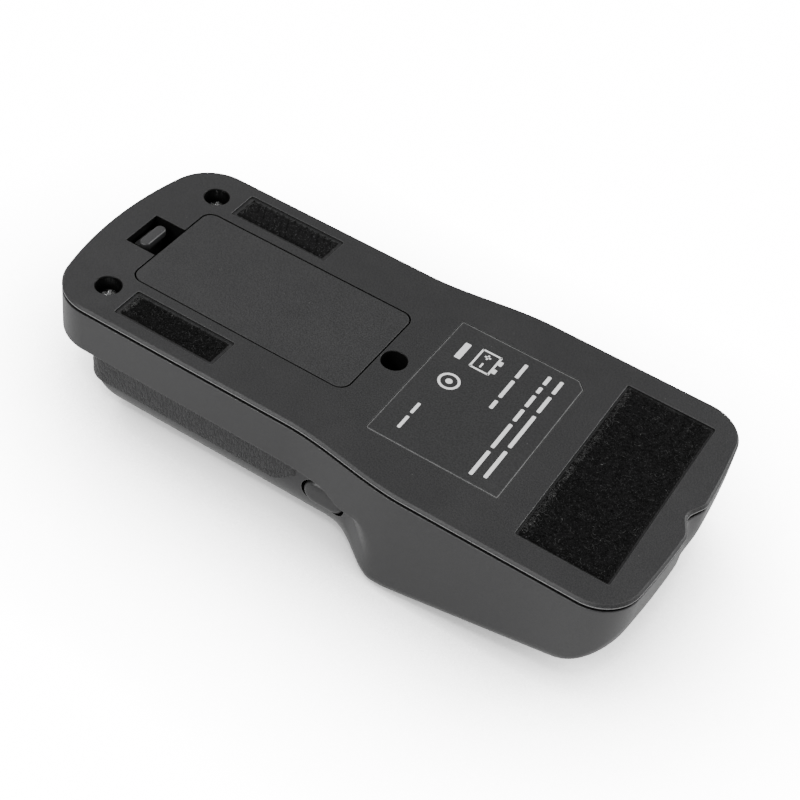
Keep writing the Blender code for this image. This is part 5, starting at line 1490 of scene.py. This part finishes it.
# ---- Battery bay ---------------------------------------------------------------------------------
@dataclass
class BatteryBay(Assembly):
    """Door, sprung latch, battery and snap connector."""

    door_rim: float = 0.12 * MM
    tab: tuple[float, float, float] = (3.6 * MM, 2.6 * MM, 1.3 * MM)
    latch_half: float = 4.6 * MM
    battery: tuple[float, float, float] = (48.5 * MM, 26.5 * MM, 17.5 * MM)
    battery_start: float = -64.5 * MM
    battery_level: float = 23.65 * MM

    def build(self) -> None:
        """Build every piece of the bay."""
        self._door()
        self._latch()
        self._battery()
        self._connector()

    def _door(self) -> None:
        """Door with its rounded rim and the two tabs that hook it in."""
        length = BAY.door_end - BAY.door_start
        centre = ((BAY.door_end + BAY.door_start) / 2, 0.0)
        bottom = BACK - BAY.door_thickness
        door = publish("bay_door", slab(
            length, 2 * BAY.door_half, BAY.door_corner, bottom, BACK, self.door_rim, centre),
            self.wardrobe.get(Finishes.DOOR), even=False)
        width, reach, thick = self.tab
        top = BACK - 2.7 * MM
        steps = []
        for index, y in enumerate(BAY.tab_places):
            low, high = y - width / 2, y + width / 2
            shape = block(
                (BAY.door_end - 1.6 * MM, low, top - thick), (BAY.door_end + reach, high, top), 0.25 * MM)
            steps.append(("UNION", self.tool(f"tab_{index}", shape)))
            shape = block(
                (BAY.door_end - 1.5 * MM, low + 0.1 * MM, top - thick / 2),
                (BAY.door_end - 0.3 * MM, high - 0.1 * MM, bottom + MM))
            steps.append(("UNION", self.tool(f"tab_root_{index}", shape)))
        carve(door, steps)
        self.place(door, Body.DOOR, "door_plastic", "battery_door")

    def _latch(self) -> None:
        """Sprung tongue: two legs joined by a bend, a finger rib and a catch."""
        half = self.latch_half
        far = BAY.door_start - BAY.window_length + 2.6 * MM
        near = BAY.door_start - 1.0 * MM
        floor = BAY.latch_floor + 1.0 * MM
        top = BACK - 0.4 * MM
        rib = slab(3.0 * MM, 2 * half, 1.45 * MM, top - 2.4 * MM, top, 0.55 * MM, (far + 1.1 * MM, 0.0), 10)
        latch = publish("bay_latch", rib, self.wardrobe.get(Finishes.LATCH), even=False)
        shapes = (
            block((far, -half + 0.2 * MM, floor), (far + 1.1 * MM, half - 0.2 * MM, top - MM), 0.2 * MM),
            block((far + 0.02 * MM, -half + 0.22 * MM, floor - 0.2 * MM),
                  (near + 0.55 * MM, half - 0.22 * MM, floor + 0.9 * MM), 0.2 * MM),
            block((near - 0.5 * MM, -half + 0.2 * MM, floor + 0.1 * MM),
                  (near + 0.6 * MM, half - 0.2 * MM, 33.4 * MM), 0.2 * MM),
            block((far - 2.1 * MM, -half + MM, 32.0 * MM), (far + 0.5 * MM, half - MM, 33.3 * MM), 0.15 * MM),
        )
        carve(latch, [("UNION", self.tool(f"latch_{index}", shape)) for index, shape in enumerate(shapes)])
        self.place(latch, Body.LATCH, "latch_plastic", "door_latch")

    def _battery(self) -> None:
        """Battery can with rolled ends, and its two snap terminals."""
        length, width, height = self.battery
        lie = Matrix.Translation((self.battery_start, 0, self.battery_level)) @ Matrix.Rotation(
            math.pi / 2, 4, "Y")
        shape = moved(slab(height, width, 2.2 * MM, 0.0, length, 0.6 * MM), lie)
        self.make("battery", shape, Finishes.BATTERY, "battery_jacket", "battery_case")
        face = lie @ Matrix.Translation((0, 0, length))
        stud = ((0, 0.3), (2.7, 0.3), (2.7, 0.8), (2.2, 1.2), (2.4, 2.6), (2.1, 2.95), (1.2, 3.0), (0, 2.7))
        socket = ((0, 0.3), (3.7, 0.3), (3.7, 1.0), (3.3, 1.5), (3.7, 2.4), (3.4, 2.8), (2.6, 2.75),
                  (2.5, 1.0), (0, 1.0))
        for name, profile, side in (("positive", stud, 6.35), ("negative", socket, -6.35)):
            spun = lathe([(r * MM, z * MM) for r, z in profile], (0, side * MM, 0))
            self.make(
                f"battery_{name}", moved(spun, face), Finishes.TERMINAL, "terminal_metal",
                f"battery_terminal_{name}")

    def _connector(self) -> None:
        """Moulded snap cap that clips over both terminals."""
        face = Matrix.Translation((self.battery_start + self.battery[0], 0, self.battery_level)) @ (
            Matrix.Rotation(math.pi / 2, 4, "Y"))
        cap = publish("battery_snap", moved(slab(
            11 * MM, 24 * MM, 3 * MM, GAP, 4.6 * MM, 0.4 * MM), face),
            self.wardrobe.get(Finishes.SNAP), even=False)
        steps = []
        for size, side in ((6.2 * MM, 6.35 * MM), (8.2 * MM, -6.35 * MM)):
            shape = slab(size, size, size / 2, -MM, 3.4 * MM, centre=(0, side), segments=10)
            steps.append(("DIFFERENCE", self.tool("snap_socket", moved(shape, face))))
        carve(cap, steps)
        self.place(cap, Body.ROOT, "snap_cap", "snap_connector")


# ---- Screws --------------------------------------------------------------------------------------
@dataclass
class HousingScrews(Assembly):
    """Three pan-head screws with cross recesses, down in their wells."""

    head: float = 5.4 * MM
    height: float = 2.0 * MM
    shank: float = 2.9 * MM
    lengths: tuple[float, float, float] = (6.2 * MM, 6.2 * MM, 10 * MM)

    def build(self) -> None:
        """Build the screws."""
        for (name, x, y, seat), length in zip(BAY.screws(), self.lengths):
            self._screw(name, (x, y), seat, length)

    def _screw(self, name: str, place: tuple[float, float], seat: float, length: float) -> None:
        """Build one screw.

        Args:
            name: The node that it stands for.
            place: Its axis in plan.
            seat: Height of the counterbore's floor.
            length: Length below the floor.
        """
        foot = seat + GAP
        half, rise = self.head / 2, self.height
        dome = [(half * math.cos(a), foot + rise * 0.45 + rise * 0.55 * math.sin(a))
                for a in (0.0, 0.35, 0.7, 1.0, 1.25, 1.45)]
        tip, shank = seat - length, self.shank / 2
        profile = [(0, tip), (self.shank * 0.2, tip), (shank, tip + 1.2 * MM), (shank, foot), (half, foot)]
        profile += dome + [(0, foot + rise)]
        screw = publish(
            name + "_steel", lathe(profile, (*place, 0)), self.wardrobe.get(Finishes.CHROME), even=False)
        steps = []
        for turn in (0.35, 0.35 + math.pi / 2):
            wing = block((-1.6 * MM, -0.42 * MM, foot + rise * 0.35), (1.6 * MM, 0.42 * MM, foot + rise + MM))
            turned = Matrix.Translation((*place, 0)) @ Matrix.Rotation(turn, 4, "Z")
            steps.append(("DIFFERENCE", self.tool("driver_wing", moved(wing, turned))))
        carve(screw, steps)
        self.place(screw, Body.ROOT, "screw_steel", name)


# ---- Back label ----------------------------------------------------------------------------------
@dataclass
class BackLabel(Assembly):
    """Printed film with one clipped corner, in its recess, with generic printed marks."""

    start: float = 7.8 * MM
    end: float = 43.8 * MM
    half: float = 23.3 * MM
    clip: float = 2.2 * MM
    bottom: float = 35.7 * MM
    top: float = 35.94 * MM
    ink: float = 0.012 * MM
    lines: tuple[tuple[float, float, tuple[tuple[float, float], ...]], ...] = (
        (38.4, 2.0, ((20.2, 15.0), (13.6, 7.0), (5.4, -7.6), (-9.2, -19.6))),
        (35.1, 2.0, ((19.9, 16.4), (15.2, 12.8), (11.6, 6.9), (5.6, 0.8), (-0.6, -10.2), (-11.6, -20.8))),
        (28.4, 2.0, ((19.9, 14.1), (12.8, 5.6), (4.2, 0.9))),
        (13.9, 1.7, ((-8.5, -12.6), (-13.9, -18.6))),
    )

    @classmethod
    def form(cls, grow: float, bottom: float, top: float) -> bmesh.types.BMesh:
        """Outline of the label, moved out by grow, as a slab."""
        start, end, half, clip = cls.start - grow, cls.end + grow, cls.half + grow, cls.clip
        plan = [(start + 0.3 * MM, -half), (end, -half), (end, half - clip), (end - clip, half),
                (start + 0.3 * MM, half), (start, half - 0.3 * MM), (start, -half + 0.3 * MM)]
        return RingBody(lift(plan, bottom)).cap().grow(lift(plan, top)).cap().shape

    def build(self) -> None:
        """Build the film and its print."""
        film = self.form(0.0, self.bottom, self.top)
        self.make("back_film", film, Finishes.LABEL, "label_film", "back_label")
        shape = bmesh.new()
        for x, height, words in self.lines:
            for first, last in words:
                self._mark(shape, (x, (first + last) / 2), (height * 0.5, abs(first - last)), 0.3)
        self._battery_mark(shape)
        self._mark(shape, (13.05, 14.0), (1.7, 6.4), 0.25)
        self._target_mark(shape)
        self.make("back_print", shape, Finishes.INK, "label_film")

    def _mark(self, shape: bmesh.types.BMesh, centre: tuple[float, float], size: tuple[float, float],
              radius: float) -> None:
        """Print a rounded bar; sizes here are in millimetres."""
        x, y = centre
        bar = slab(size[0] * MM, size[1] * MM, radius * MM, self.top, self.top + self.ink,
                   centre=(x * MM, y * MM), segments=3)
        absorb(shape, bar)

    def _battery_mark(self, shape: bmesh.types.BMesh) -> None:
        """Print the outline of a battery with its two terminals."""
        x, y = 19.6, 14.2
        for across in (-1, 1):
            self._mark(shape, (x + across * 2.6, y), (0.55, 7.6), 0.2)
            self._mark(shape, (x, y + across * 3.6), (5.4, 0.55), 0.2)
            self._mark(shape, (x + 3.4, y + across * 1.7), (1.0, 1.7), 0.2)
        self._mark(shape, (x - 0.3, y - 1.7), (0.5, 1.8), 0.2)
        self._mark(shape, (x - 0.3, y + 1.7), (0.5, 1.8), 0.2)
        self._mark(shape, (x - 0.3, y + 1.7), (1.8, 0.5), 0.2)

    def _target_mark(self, shape: bmesh.types.BMesh) -> None:
        """Print a plain ring with a dot in it."""
        profile = [(2.2 * MM, self.top), (2.9 * MM, self.top), (2.9 * MM, self.top + self.ink),
                   (2.2 * MM, self.top + self.ink), (2.2 * MM, self.top)]
        absorb(shape, lathe(profile, (15.7 * MM, 2.5 * MM, 0.0)))
        disc = [(0.0, self.top), (0.9 * MM, self.top), (0.9 * MM, self.top + self.ink),
                (0.0, self.top + self.ink)]
        absorb(shape, lathe(disc, (15.7 * MM, 2.5 * MM, 0.0), 24))


# ---- Copies of a small mesh ----------------------------------------------------------------------
class Scatter:
    """Copies of a small mesh, gathered in batches so that filling stays quick."""

    batch_size = 40

    def __init__(self, small: bpy.types.Mesh) -> None:
        """Start with no copy of the small mesh."""
        self.small = small
        self.whole = bmesh.new()
        self.batch = bmesh.new()
        self.count = 0

    def add(self, place: Matrix) -> None:
        """Add a copy at a place."""
        copy = self.small.copy()
        copy.transform(place)
        self.batch.from_mesh(copy)
        bpy.data.meshes.remove(copy)
        self.count += 1
        if self.count % self.batch_size == 0:
            self._flush()

    def _flush(self) -> None:
        """Move the batch into the whole."""
        absorb(self.whole, self.batch)
        self.batch = bmesh.new()

    def result(self) -> bmesh.types.BMesh:
        """Everything that was added, as a mesh in the making."""
        self._flush()
        self.batch.free()
        bpy.data.meshes.remove(self.small)
        return self.whole


# ---- Wall-contact pads -------------------------------------------------------------------------------------
class Pile(Enum):
    """What stands on a pad's face."""

    LOOPS = "loops"
    HOOKS = "hooks"


@dataclass
class ContactPads(Assembly):
    """Loop and hook tape pads that let the cover glide over a wall."""

    bottom: float = 35.55 * MM
    top: float = 36.06 * MM
    peak: float = 36.48 * MM
    head: tuple[float, float, float] = (23.3 * MM, 59.0 * MM, 64.25 * MM)
    side: tuple[float, float, float] = (27.7 * MM, 7.7 * MM, -47.55 * MM)
    side_y: float = 24.65 * MM
    row_pitch: float = 1.9 * MM
    row_lean: float = 0.5
    cell: float = 0.33 * MM
    loop_radius: float = 0.2 * MM
    strand: float = 0.045 * MM

    def build(self) -> None:
        """Build the three pads and what stands on them."""
        length, width, x = self.head
        self._pad("head", (length, width), (x, 0.0), Pile.LOOPS, "head_pad", 6200, 11)
        length, width, x = self.side
        self._pad("side_left", (length, width), (x, -self.side_y), Pile.LOOPS, "side_pad_left", 1150, 12)
        self._pad("side_right", (length, width), (x, self.side_y), Pile.HOOKS, "side_pad_right", 420, 13)

    def _pad(self, name: str, size: tuple[float, float], centre: tuple[float, float], pile: Pile,
             node: str, count: int, seed: int) -> None:
        """Build one pad: its backing, its pile and a few stray fibres.

        Args:
            name: Start of the pieces' names.
            size: Length and width.
            centre: Middle in plan.
            pile: What stands on it.
            node: The node that the backing stands for.
            count: Number of loops or hooks.
            seed: Start of the random numbers.
        """
        chance = random.Random(seed)
        finish = Finishes.PILE if pile is Pile.LOOPS else Finishes.HOOKS
        shape = self._backing(size, centre, pile)
        backing = self.make(f"pad_{name}_backing", shape, finish, "felt", node, sharp=60, even=False)
        shape = self._standing(size, centre, pile, count, chance)
        self.make(f"pad_{name}_{pile.value}", shape, finish, "felt", sharp=60, even=False)
        shape = self._lint(size, centre, count // 12, chance)
        self.make(f"pad_{name}_lint", shape, Finishes.LINT, "felt", sharp=60, even=False)

    def _ridge(self, x: float, y: float) -> float:
        """Height share of the woven rows of the hook tape at a place."""
        along = (x + y * self.row_lean) / self.row_pitch
        return 0.5 + 0.5 * math.cos(2 * math.pi * along)

    def _backing(self, size: tuple[float, float], centre: tuple[float, float],
                 pile: Pile) -> bmesh.types.BMesh:
        """Woven backing: a fine sheet with a matted surface and rolled edges, closed below."""
        length, width = size
        shape = bmesh.new()
        bmesh.ops.create_grid(
            shape, x_segments=round(length / self.cell), y_segments=round(width / self.cell), size=0.5)
        for vert in shape.verts:
            x, y = vert.co.x * length, vert.co.y * width
            rim = min(length / 2 - abs(x), width / 2 - abs(y))
            roll = 1 - ease(rim, 0.0, 0.7 * MM)
            place = Vector((x, y, 0)) / MM
            mat = noise.noise(place * 1.3) * 0.1 + noise.noise(place * 3.1) * 0.08
            if pile is Pile.HOOKS:
                mat += (self._ridge(x, y) - 0.6) * 0.34
            ragged = noise.noise(place * 0.9 + Vector((0, 0, 5))) * 0.16 * MM * roll
            shrink = 1 - (0.12 * MM + abs(ragged)) * roll * 2 / max(length, width)
            level = self.top + mat * MM - roll * 0.34 * MM
            vert.co = (centre[0] + x * shrink, centre[1] + y * shrink, level)
        rim_edges = [edge for edge in shape.edges if edge.is_boundary]
        made = bmesh.ops.extrude_edge_only(shape, edges=rim_edges)
        fresh = [item for item in made["geom"] if isinstance(item, bmesh.types.BMVert)]
        for vert in fresh:
            vert.co.z = self.bottom
        lowest = [edge for edge in shape.edges if edge.is_boundary]
        bmesh.ops.edgeloop_fill(shape, edges=lowest)
        return shape

    def _strand(self, radius: float, angle: float, steps: int) -> bpy.types.Mesh:
        """Curl of thread with three sides, standing on its foot, to be repeated over a pad."""
        shape = bmesh.new()
        made = bmesh.ops.create_circle(shape, cap_ends=True, radius=self.strand, segments=3)
        bmesh.ops.translate(shape, verts=made["verts"], vec=(-radius, 0, 0))
        bmesh.ops.spin(
            shape, geom=shape.faces[:], cent=(0, 0, 0), axis=(0, 1, 0), dvec=(0, 0, 0),
            angle=angle, steps=steps, use_merge=False, use_duplicate=False)
        bmesh.ops.recalc_face_normals(shape, faces=shape.faces)
        mesh = bpy.data.meshes.new("strand")
        shape.to_mesh(mesh)
        shape.free()
        return mesh

    def _standing(self, size: tuple[float, float], centre: tuple[float, float], pile: Pile, count: int,
                  chance: random.Random) -> bmesh.types.BMesh:
        """Loops thrown in every direction, or hooks that stand along the woven rows."""
        length, width = size
        curl = self._strand(self.loop_radius, math.pi if pile is Pile.LOOPS else math.pi * 0.8, 4)
        copies = Scatter(curl)
        for _ in range(count):
            x = chance.uniform(-0.5, 0.5) * (length - 0.7 * MM)
            y = chance.uniform(-0.5, 0.5) * (width - 0.7 * MM)
            if pile is Pile.HOOKS:
                row = round((x + y * self.row_lean) / self.row_pitch)
                x = row * self.row_pitch - y * self.row_lean
                if abs(x) > length / 2 - 0.4 * MM:
                    continue
            wide = chance.uniform(0.8, 1.7)
            tall = chance.uniform(0.7, 1.5)
            turn = chance.uniform(0, 2 * math.pi) if pile is Pile.LOOPS else chance.gauss(1.1, 0.25)
            lean = chance.gauss(0.0, 0.7 if pile is Pile.LOOPS else 0.2)
            level = self.top + 0.03 * MM
            place = (
                Matrix.Translation((centre[0] + x, centre[1] + y, level)) @ Matrix.Rotation(turn, 4, "Z")
                @ Matrix.Rotation(lean, 4, "X") @ Matrix.Diagonal((wide, 1.0, tall, 1.0)))
            copies.add(place)
        return self._within(copies.result(), size, centre)

    def _lint(self, size: tuple[float, float], centre: tuple[float, float], count: int,
              chance: random.Random) -> bmesh.types.BMesh:
        """Pale stray fibres that lie low, most of them near the edges."""
        length, width = size
        copies = Scatter(self._strand(0.55 * MM, math.pi * 0.9, 6))
        for _ in range(count):
            near_edge = chance.random() < 0.65
            x = chance.uniform(-0.5, 0.5) * (length - 1.6 * MM)
            y = chance.uniform(-0.5, 0.5) * (width - 1.6 * MM)
            if near_edge:
                x = -abs(length / 2 - 0.7 * MM) + abs(chance.gauss(0.0, 0.5 * MM))
            level = self.top + 0.1 * MM
            place = (
                Matrix.Translation((centre[0] + x, centre[1] + y, level))
                @ Matrix.Rotation(chance.uniform(0, 2 * math.pi), 4, "Z")
                @ Matrix.Rotation(chance.choice((-1, 1)) * chance.uniform(0.9, 1.4), 4, "X")
                @ Matrix.Diagonal((chance.uniform(0.6, 1.5), 0.6, 0.6, 1.0)))
            copies.add(place)
        return self._within(copies.result(), size, centre)

    def _within(self, shape: bmesh.types.BMesh, size: tuple[float, float],
                centre: tuple[float, float]) -> bmesh.types.BMesh:
        """Press back whatever stands outside the pad's own space."""
        for vert in shape.verts:
            vert.co.x = min(max(vert.co.x, centre[0] - size[0] / 2), centre[0] + size[0] / 2)
            vert.co.y = min(max(vert.co.y, centre[1] - size[1] / 2), centre[1] + size[1] / 2)
            vert.co.z = min(vert.co.z, self.peak)
        return shape


# ---- Buttons and display -------------------------------------------------------------------------
@dataclass
class Controls(Assembly):
    """Scan button in the flank, mode button, signal lights and the display window."""

    scan_place: tuple[float, float, float] = (3.2 * MM, -30.7 * MM, 13.5 * MM)
    scan_size: tuple[float, float] = (12 * MM, 7 * MM)
    mode_place: float = -20.55 * MM
    light_y: float = 12 * MM
    shift: float = 3 * MM

    def build(self) -> None:
        """Build each control and the window."""
        self._scan()
        self._mode()
        self._lights()
        self._window()

    def _scan(self) -> None:
        """Pill-shaped thumb button with a crowned face and a retaining flange behind."""
        place = Matrix.Translation(self.scan_place) @ Matrix.Rotation(-math.pi / 2, 4, "X")
        length, height = self.scan_size
        rows = (
            (2.2, -0.7), (1.5, -0.66), (0.95, -0.52), (0.5, -0.28), (0.2, 0.04), (0.05, 0.4), (0.0, 0.8))
        rings = []
        for inset, level in rows:
            plan = rounded_plan(
                length - 2 * inset * MM, height - 2 * inset * MM, height / 2 - inset * MM, 14)
            rings.append(lift(plan, level * MM))
        rings.append(lift(rounded_plan(length, height, height / 2, 14), 5.04 * MM))
        flange = rounded_plan(14.8 * MM, 9.8 * MM, 4.9 * MM, 14)
        rings += [lift(flange, level * MM) for level in (5.04, 6.24)]
        body = RingBody(rings[0]).cap()
        for ring in rings[1:]:
            body.grow(ring)
        shape = moved(body.cap().shape, place)
        self.make(
            "thumb_button", shape, Finishes.BUTTON, "button_rubber", "scan_button", body=Body.SCAN)

    def _mode(self) -> None:
        """Round push button with a dished face."""
        profile = [
            (0, 0.8), (1.6, 0.74), (2.7, 0.58), (3.4, 0.4), (3.75, 0.35), (4.1, 0.42), (4.38, 0.6),
            (4.5, 0.9), (4.5, 2.5), (5.9, 2.5), (5.9, 3.7), (0, 3.7)]
        shape = lathe([(r * MM, z * MM) for r, z in profile], (self.mode_place, 0, 0), 64)
        self.make(
            "round_button", moved(shape, DISPLAY_PLACE), Finishes.BUTTON, "button_rubber",
            "mode_button", body=Body.MODE)

    def _lights(self) -> None:
        """Two domed light pipes."""
        profile = [(0, 0.3), (0.7, 0.36), (1.15, 0.55), (1.42, 0.85), (1.5, 1.2), (1.5, 6.9), (0, 6.9)]
        for name, hand in (("right", 1), ("left", -1)):
            axis = (self.mode_place, hand * self.light_y, 0)
            shape = lathe([(r * MM, z * MM) for r, z in profile], axis, 32)
            self.make(
                f"light_{name}", moved(shape, DISPLAY_PLACE), Finishes.LENS, "signal_lens",
                f"signal_light_{name}")

    def _window(self) -> None:
        """Clear window with its printed border, and the dark segments of the display behind it."""
        centre = (self.shift, 0.0)
        pane = slab(31 * MM, 47 * MM, 2.7 * MM, 0.3 * MM, 1.5 * MM, 0.2 * MM, centre)
        self.make(
            "window_pane", moved(pane, DISPLAY_PLACE), Finishes.WINDOW, "window_acrylic",
            "display_window")
        border = publish("window_border", moved(slab(
            30.4 * MM, 46.4 * MM, 2.4 * MM, 1.53 * MM, 1.6 * MM, 0.0, centre), DISPLAY_PLACE),
            self.wardrobe.get(Finishes.PRINT))
        hole = moved(slab(22.5 * MM, 38.5 * MM, 1.6 * MM, MM, 2 * MM, 0.0, centre), DISPLAY_PLACE)
        carve(border, [("DIFFERENCE", self.tool("border_hole", hole))])
        self.place(border, Body.ROOT, "window_acrylic")
        shape = bmesh.new()
        for step in range(9):
            size = (2.2, 2.6) if step != 4 else (4.4, 3.0)
            self._segment(shape, (self.shift / MM + 6.5 - size[0] / 2, (step - 4) * 3.9), size)
        for step in range(5):
            length = 12.0 - abs(step - 1) * 2.4
            self._segment(shape, (self.shift / MM - 1.5 - step * 1.5, 0.0), (0.9, length))
        self._segment(shape, (self.shift / MM - 8.2, -15.0), (2.2, 4.0))
        self.make("display_segments", moved(shape, DISPLAY_PLACE), Finishes.SEGMENT, "lcd_glass")

    def _segment(self, shape: bmesh.types.BMesh, centre: tuple[float, float],
                 size: tuple[float, float]) -> None:
        """Add one dark segment; sizes here are in millimetres."""
        part = slab(size[0] * MM, size[1] * MM, 0.3 * MM, 2.42 * MM, 2.47 * MM,
                    centre=(centre[0] * MM, centre[1] * MM), segments=3)
        absorb(shape, part)


# ---- Parts that keep the frame's own shape -------------------------------------------------------
@dataclass
class InnerParts(Assembly):
    """Inner parts whose frame shapes are right: each gets its finish and its slot."""

    nodes: dict[str, bpy.types.Object] = field(default_factory=dict)
    plan: tuple[tuple[Finishes, str, tuple[str, ...]], ...] = (
        (Finishes.FOAM, "door_foam", ("door_foam",)),
        (Finishes.LEAD_RED, "lead_red", ("lead_positive",)),
        (Finishes.LEAD_BLACK, "lead_black", ("lead_negative",)),
        (Finishes.BOARD, "circuit_board", ("sensor_board", "display_board", "scan_switch_board")),
        (Finishes.COPPER, "sensor_copper", (
            "sensor_plate_left", "sensor_plate_centre", "sensor_plate_right")),
        (Finishes.CHIP, "chip_epoxy", (
            "microcontroller", "sensor_amplifier", "voltage_regulator", "piezo_buzzer", "flex_connector",
            "display_driver", "mode_switch", "scan_switch")),
        (Finishes.CAPACITOR, "capacitor_sleeve", ("filter_capacitor",)),
        (Finishes.CAN, "crystal_can", ("quartz_crystal",)),
        (Finishes.RIBBON, "flex_film", ("flex_cable",)),
        (Finishes.GLASS, "lcd_glass", ("lcd_glass",)),
        (Finishes.FRAME, "lcd_frame", ("lcd_frame",)),
        (Finishes.DIFFUSER, "backlight_diffuser", ("backlight_panel",)),
        (Finishes.CONTACT, "contact_rubber", ("contact_strip",)),
        (Finishes.NYLON, "plunger_nylon", ("scan_plunger", "mode_plunger")),
        (Finishes.SMALL_STEEL, "small_screw_steel", (
            "sensor_board_screw_1", "sensor_board_screw_2", "sensor_board_screw_3",
            "display_board_screw_1", "display_board_screw_2")),
    )

    def build(self) -> None:
        """Dress every part of the plan."""
        for finish, slot, names in self.plan:
            material = self.wardrobe.get(finish)
            for name in names:
                node = self.nodes[name]
                node.data.materials.clear()
                node.data.materials.append(material)
                LOG.info("%s: frame shape, %s", name, slot)


# ---- Studio --------------------------------------------------------------------------------------
@dataclass
class Studio:
    """Pale floor, soft lights and the camera."""

    target: tuple[float, float, float] = (9.566 * MM, -10.671 * MM, 36.0 * MM)
    distance: float = 386.36 * MM
    back: tuple[float, float, float] = (0.2870, -0.6411, 0.7118)
    roll: float = math.radians(10.45)
    lens: float = 72.03
    painted_shadow_reach: float = 68 * MM
    floor_size: float = 6.0
    floor_bounce: float = 0.1
    floor_glow: float = 15.0
    painted_shadow_power: float = 3.4
    sky: float = 0.3

    def build(self) -> None:
        """Build the whole studio."""
        self._floor()
        self._lights()
        self._camera()

    def _floor(self) -> None:
        """Plain pale floor just below the object, glowing evenly for the camera, with painted contact shadows
        from ambient occlusion.
        """
        shape = bmesh.new()
        bmesh.ops.create_grid(shape, x_segments=2, y_segments=2, size=self.floor_size / 2)
        bmesh.ops.translate(shape, verts=shape.verts, vec=(0, 0, -0.02 * MM))
        material, kit, shader = blank_material("studio_floor")
        tone = kit.span(kit.noise(kit.place(), 3.0, 3.0), 0.2, 0.8, 0.0, 1.0)
        pale = kit.tint(opaque((0.92, 0.92, 0.92)), opaque((0.95, 0.95, 0.95)), tone)
        shelter = kit.add(
            "ShaderNodeAmbientOcclusion", {"Distance": self.painted_shadow_reach}, samples=8).outputs["AO"]
        seen = kit.add("ShaderNodeLightPath").outputs["Is Camera Ray"]
        glow = kit.span(seen, 0.0, 1.0, self.floor_bounce, self.floor_glow)
        # Painted shadow: the floor's glow dims with ambient occlusion near the object.
        strength = kit.math("MULTIPLY", glow, kit.math("POWER", shelter, self.painted_shadow_power))
        kit.feed(shader, {
            "Base Color": pale, "Roughness": 0.9, "Specular IOR Level": 0.1,
            "Emission Color": (1.0, 1.0, 1.0, 1.0), "Emission Strength": strength})
        publish("floor", shape, material)

    def _light(self, name: str, place: tuple[float, float, float], size: tuple[float, float],
               power: float) -> None:
        """Hang one soft rectangular light that looks at the object."""
        data = bpy.data.lights.new(name, "AREA")
        data.shape = "RECTANGLE"
        data.size, data.size_y = size
        data.energy = power
        lamp = bpy.data.objects.new(name, data)
        lamp.location = place
        lamp.rotation_euler = (-Vector(place)).to_track_quat("-Z", "Y").to_euler()
        bpy.context.scene.collection.objects.link(lamp)

    def _lights(self) -> None:
        """Pale surroundings and four soft boxes."""
        world = bpy.data.worlds.new("studio_air")
        world.use_nodes = True
        air = world.node_tree.nodes["Background"]
        air.inputs["Color"].default_value = (1.0, 1.0, 1.0, 1.0)
        air.inputs["Strength"].default_value = self.sky
        bpy.context.scene.world = world
        self._light("key", (0.6, 0.75, 0.5), (0.6, 0.5), 8.5)
        self._light("rim_strip", (-0.29, -0.69, 0.62), (0.5, 0.08), 5.5)
        self._light("overhead", (0.12, -0.45, 0.95), (0.1, 0.1), 3.4)
        self._light("far_side", (-0.8, 0.5, 0.5), (0.4, 0.4), 1.2)

    def _camera(self) -> None:
        """Camera at a high three-quarter view, turned a little about its own axis."""
        back = Vector(self.back).normalized()
        right = (-back).cross(Vector((0, 0, 1))).normalized()
        up = right.cross(-back)
        turned = math.cos(self.roll) * right + math.sin(self.roll) * up
        upward = -math.sin(self.roll) * right + math.cos(self.roll) * up
        data = bpy.data.cameras.new("camera")
        data.lens = self.lens
        data.sensor_width = 36.0
        data.clip_start = 0.01
        camera = bpy.data.objects.new("camera", data)
        place = Matrix((turned, upward, back)).transposed().to_4x4()
        place.translation = Vector(self.target) + back * self.distance
        camera.matrix_world = place
        bpy.context.scene.collection.objects.link(camera)
        bpy.context.scene.camera = camera


def main() -> None:
    """Build every sub-assembly in order and log each piece's face count."""
    logging.basicConfig(level=logging.INFO, format="%(name)s %(message)s")
    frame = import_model()
    wardrobe = Wardrobe()
    for assembly in (FrontHousing, RearCover, GripSleeve, BatteryBay, HousingScrews, BackLabel,
                     ContactPads, Controls):
        assembly(wardrobe).build()
    InnerParts(wardrobe, nodes=frame["nodes"]).build()
    Studio().build()
    bpy.context.view_layer.update()


if __name__ == "__main__":
    main()
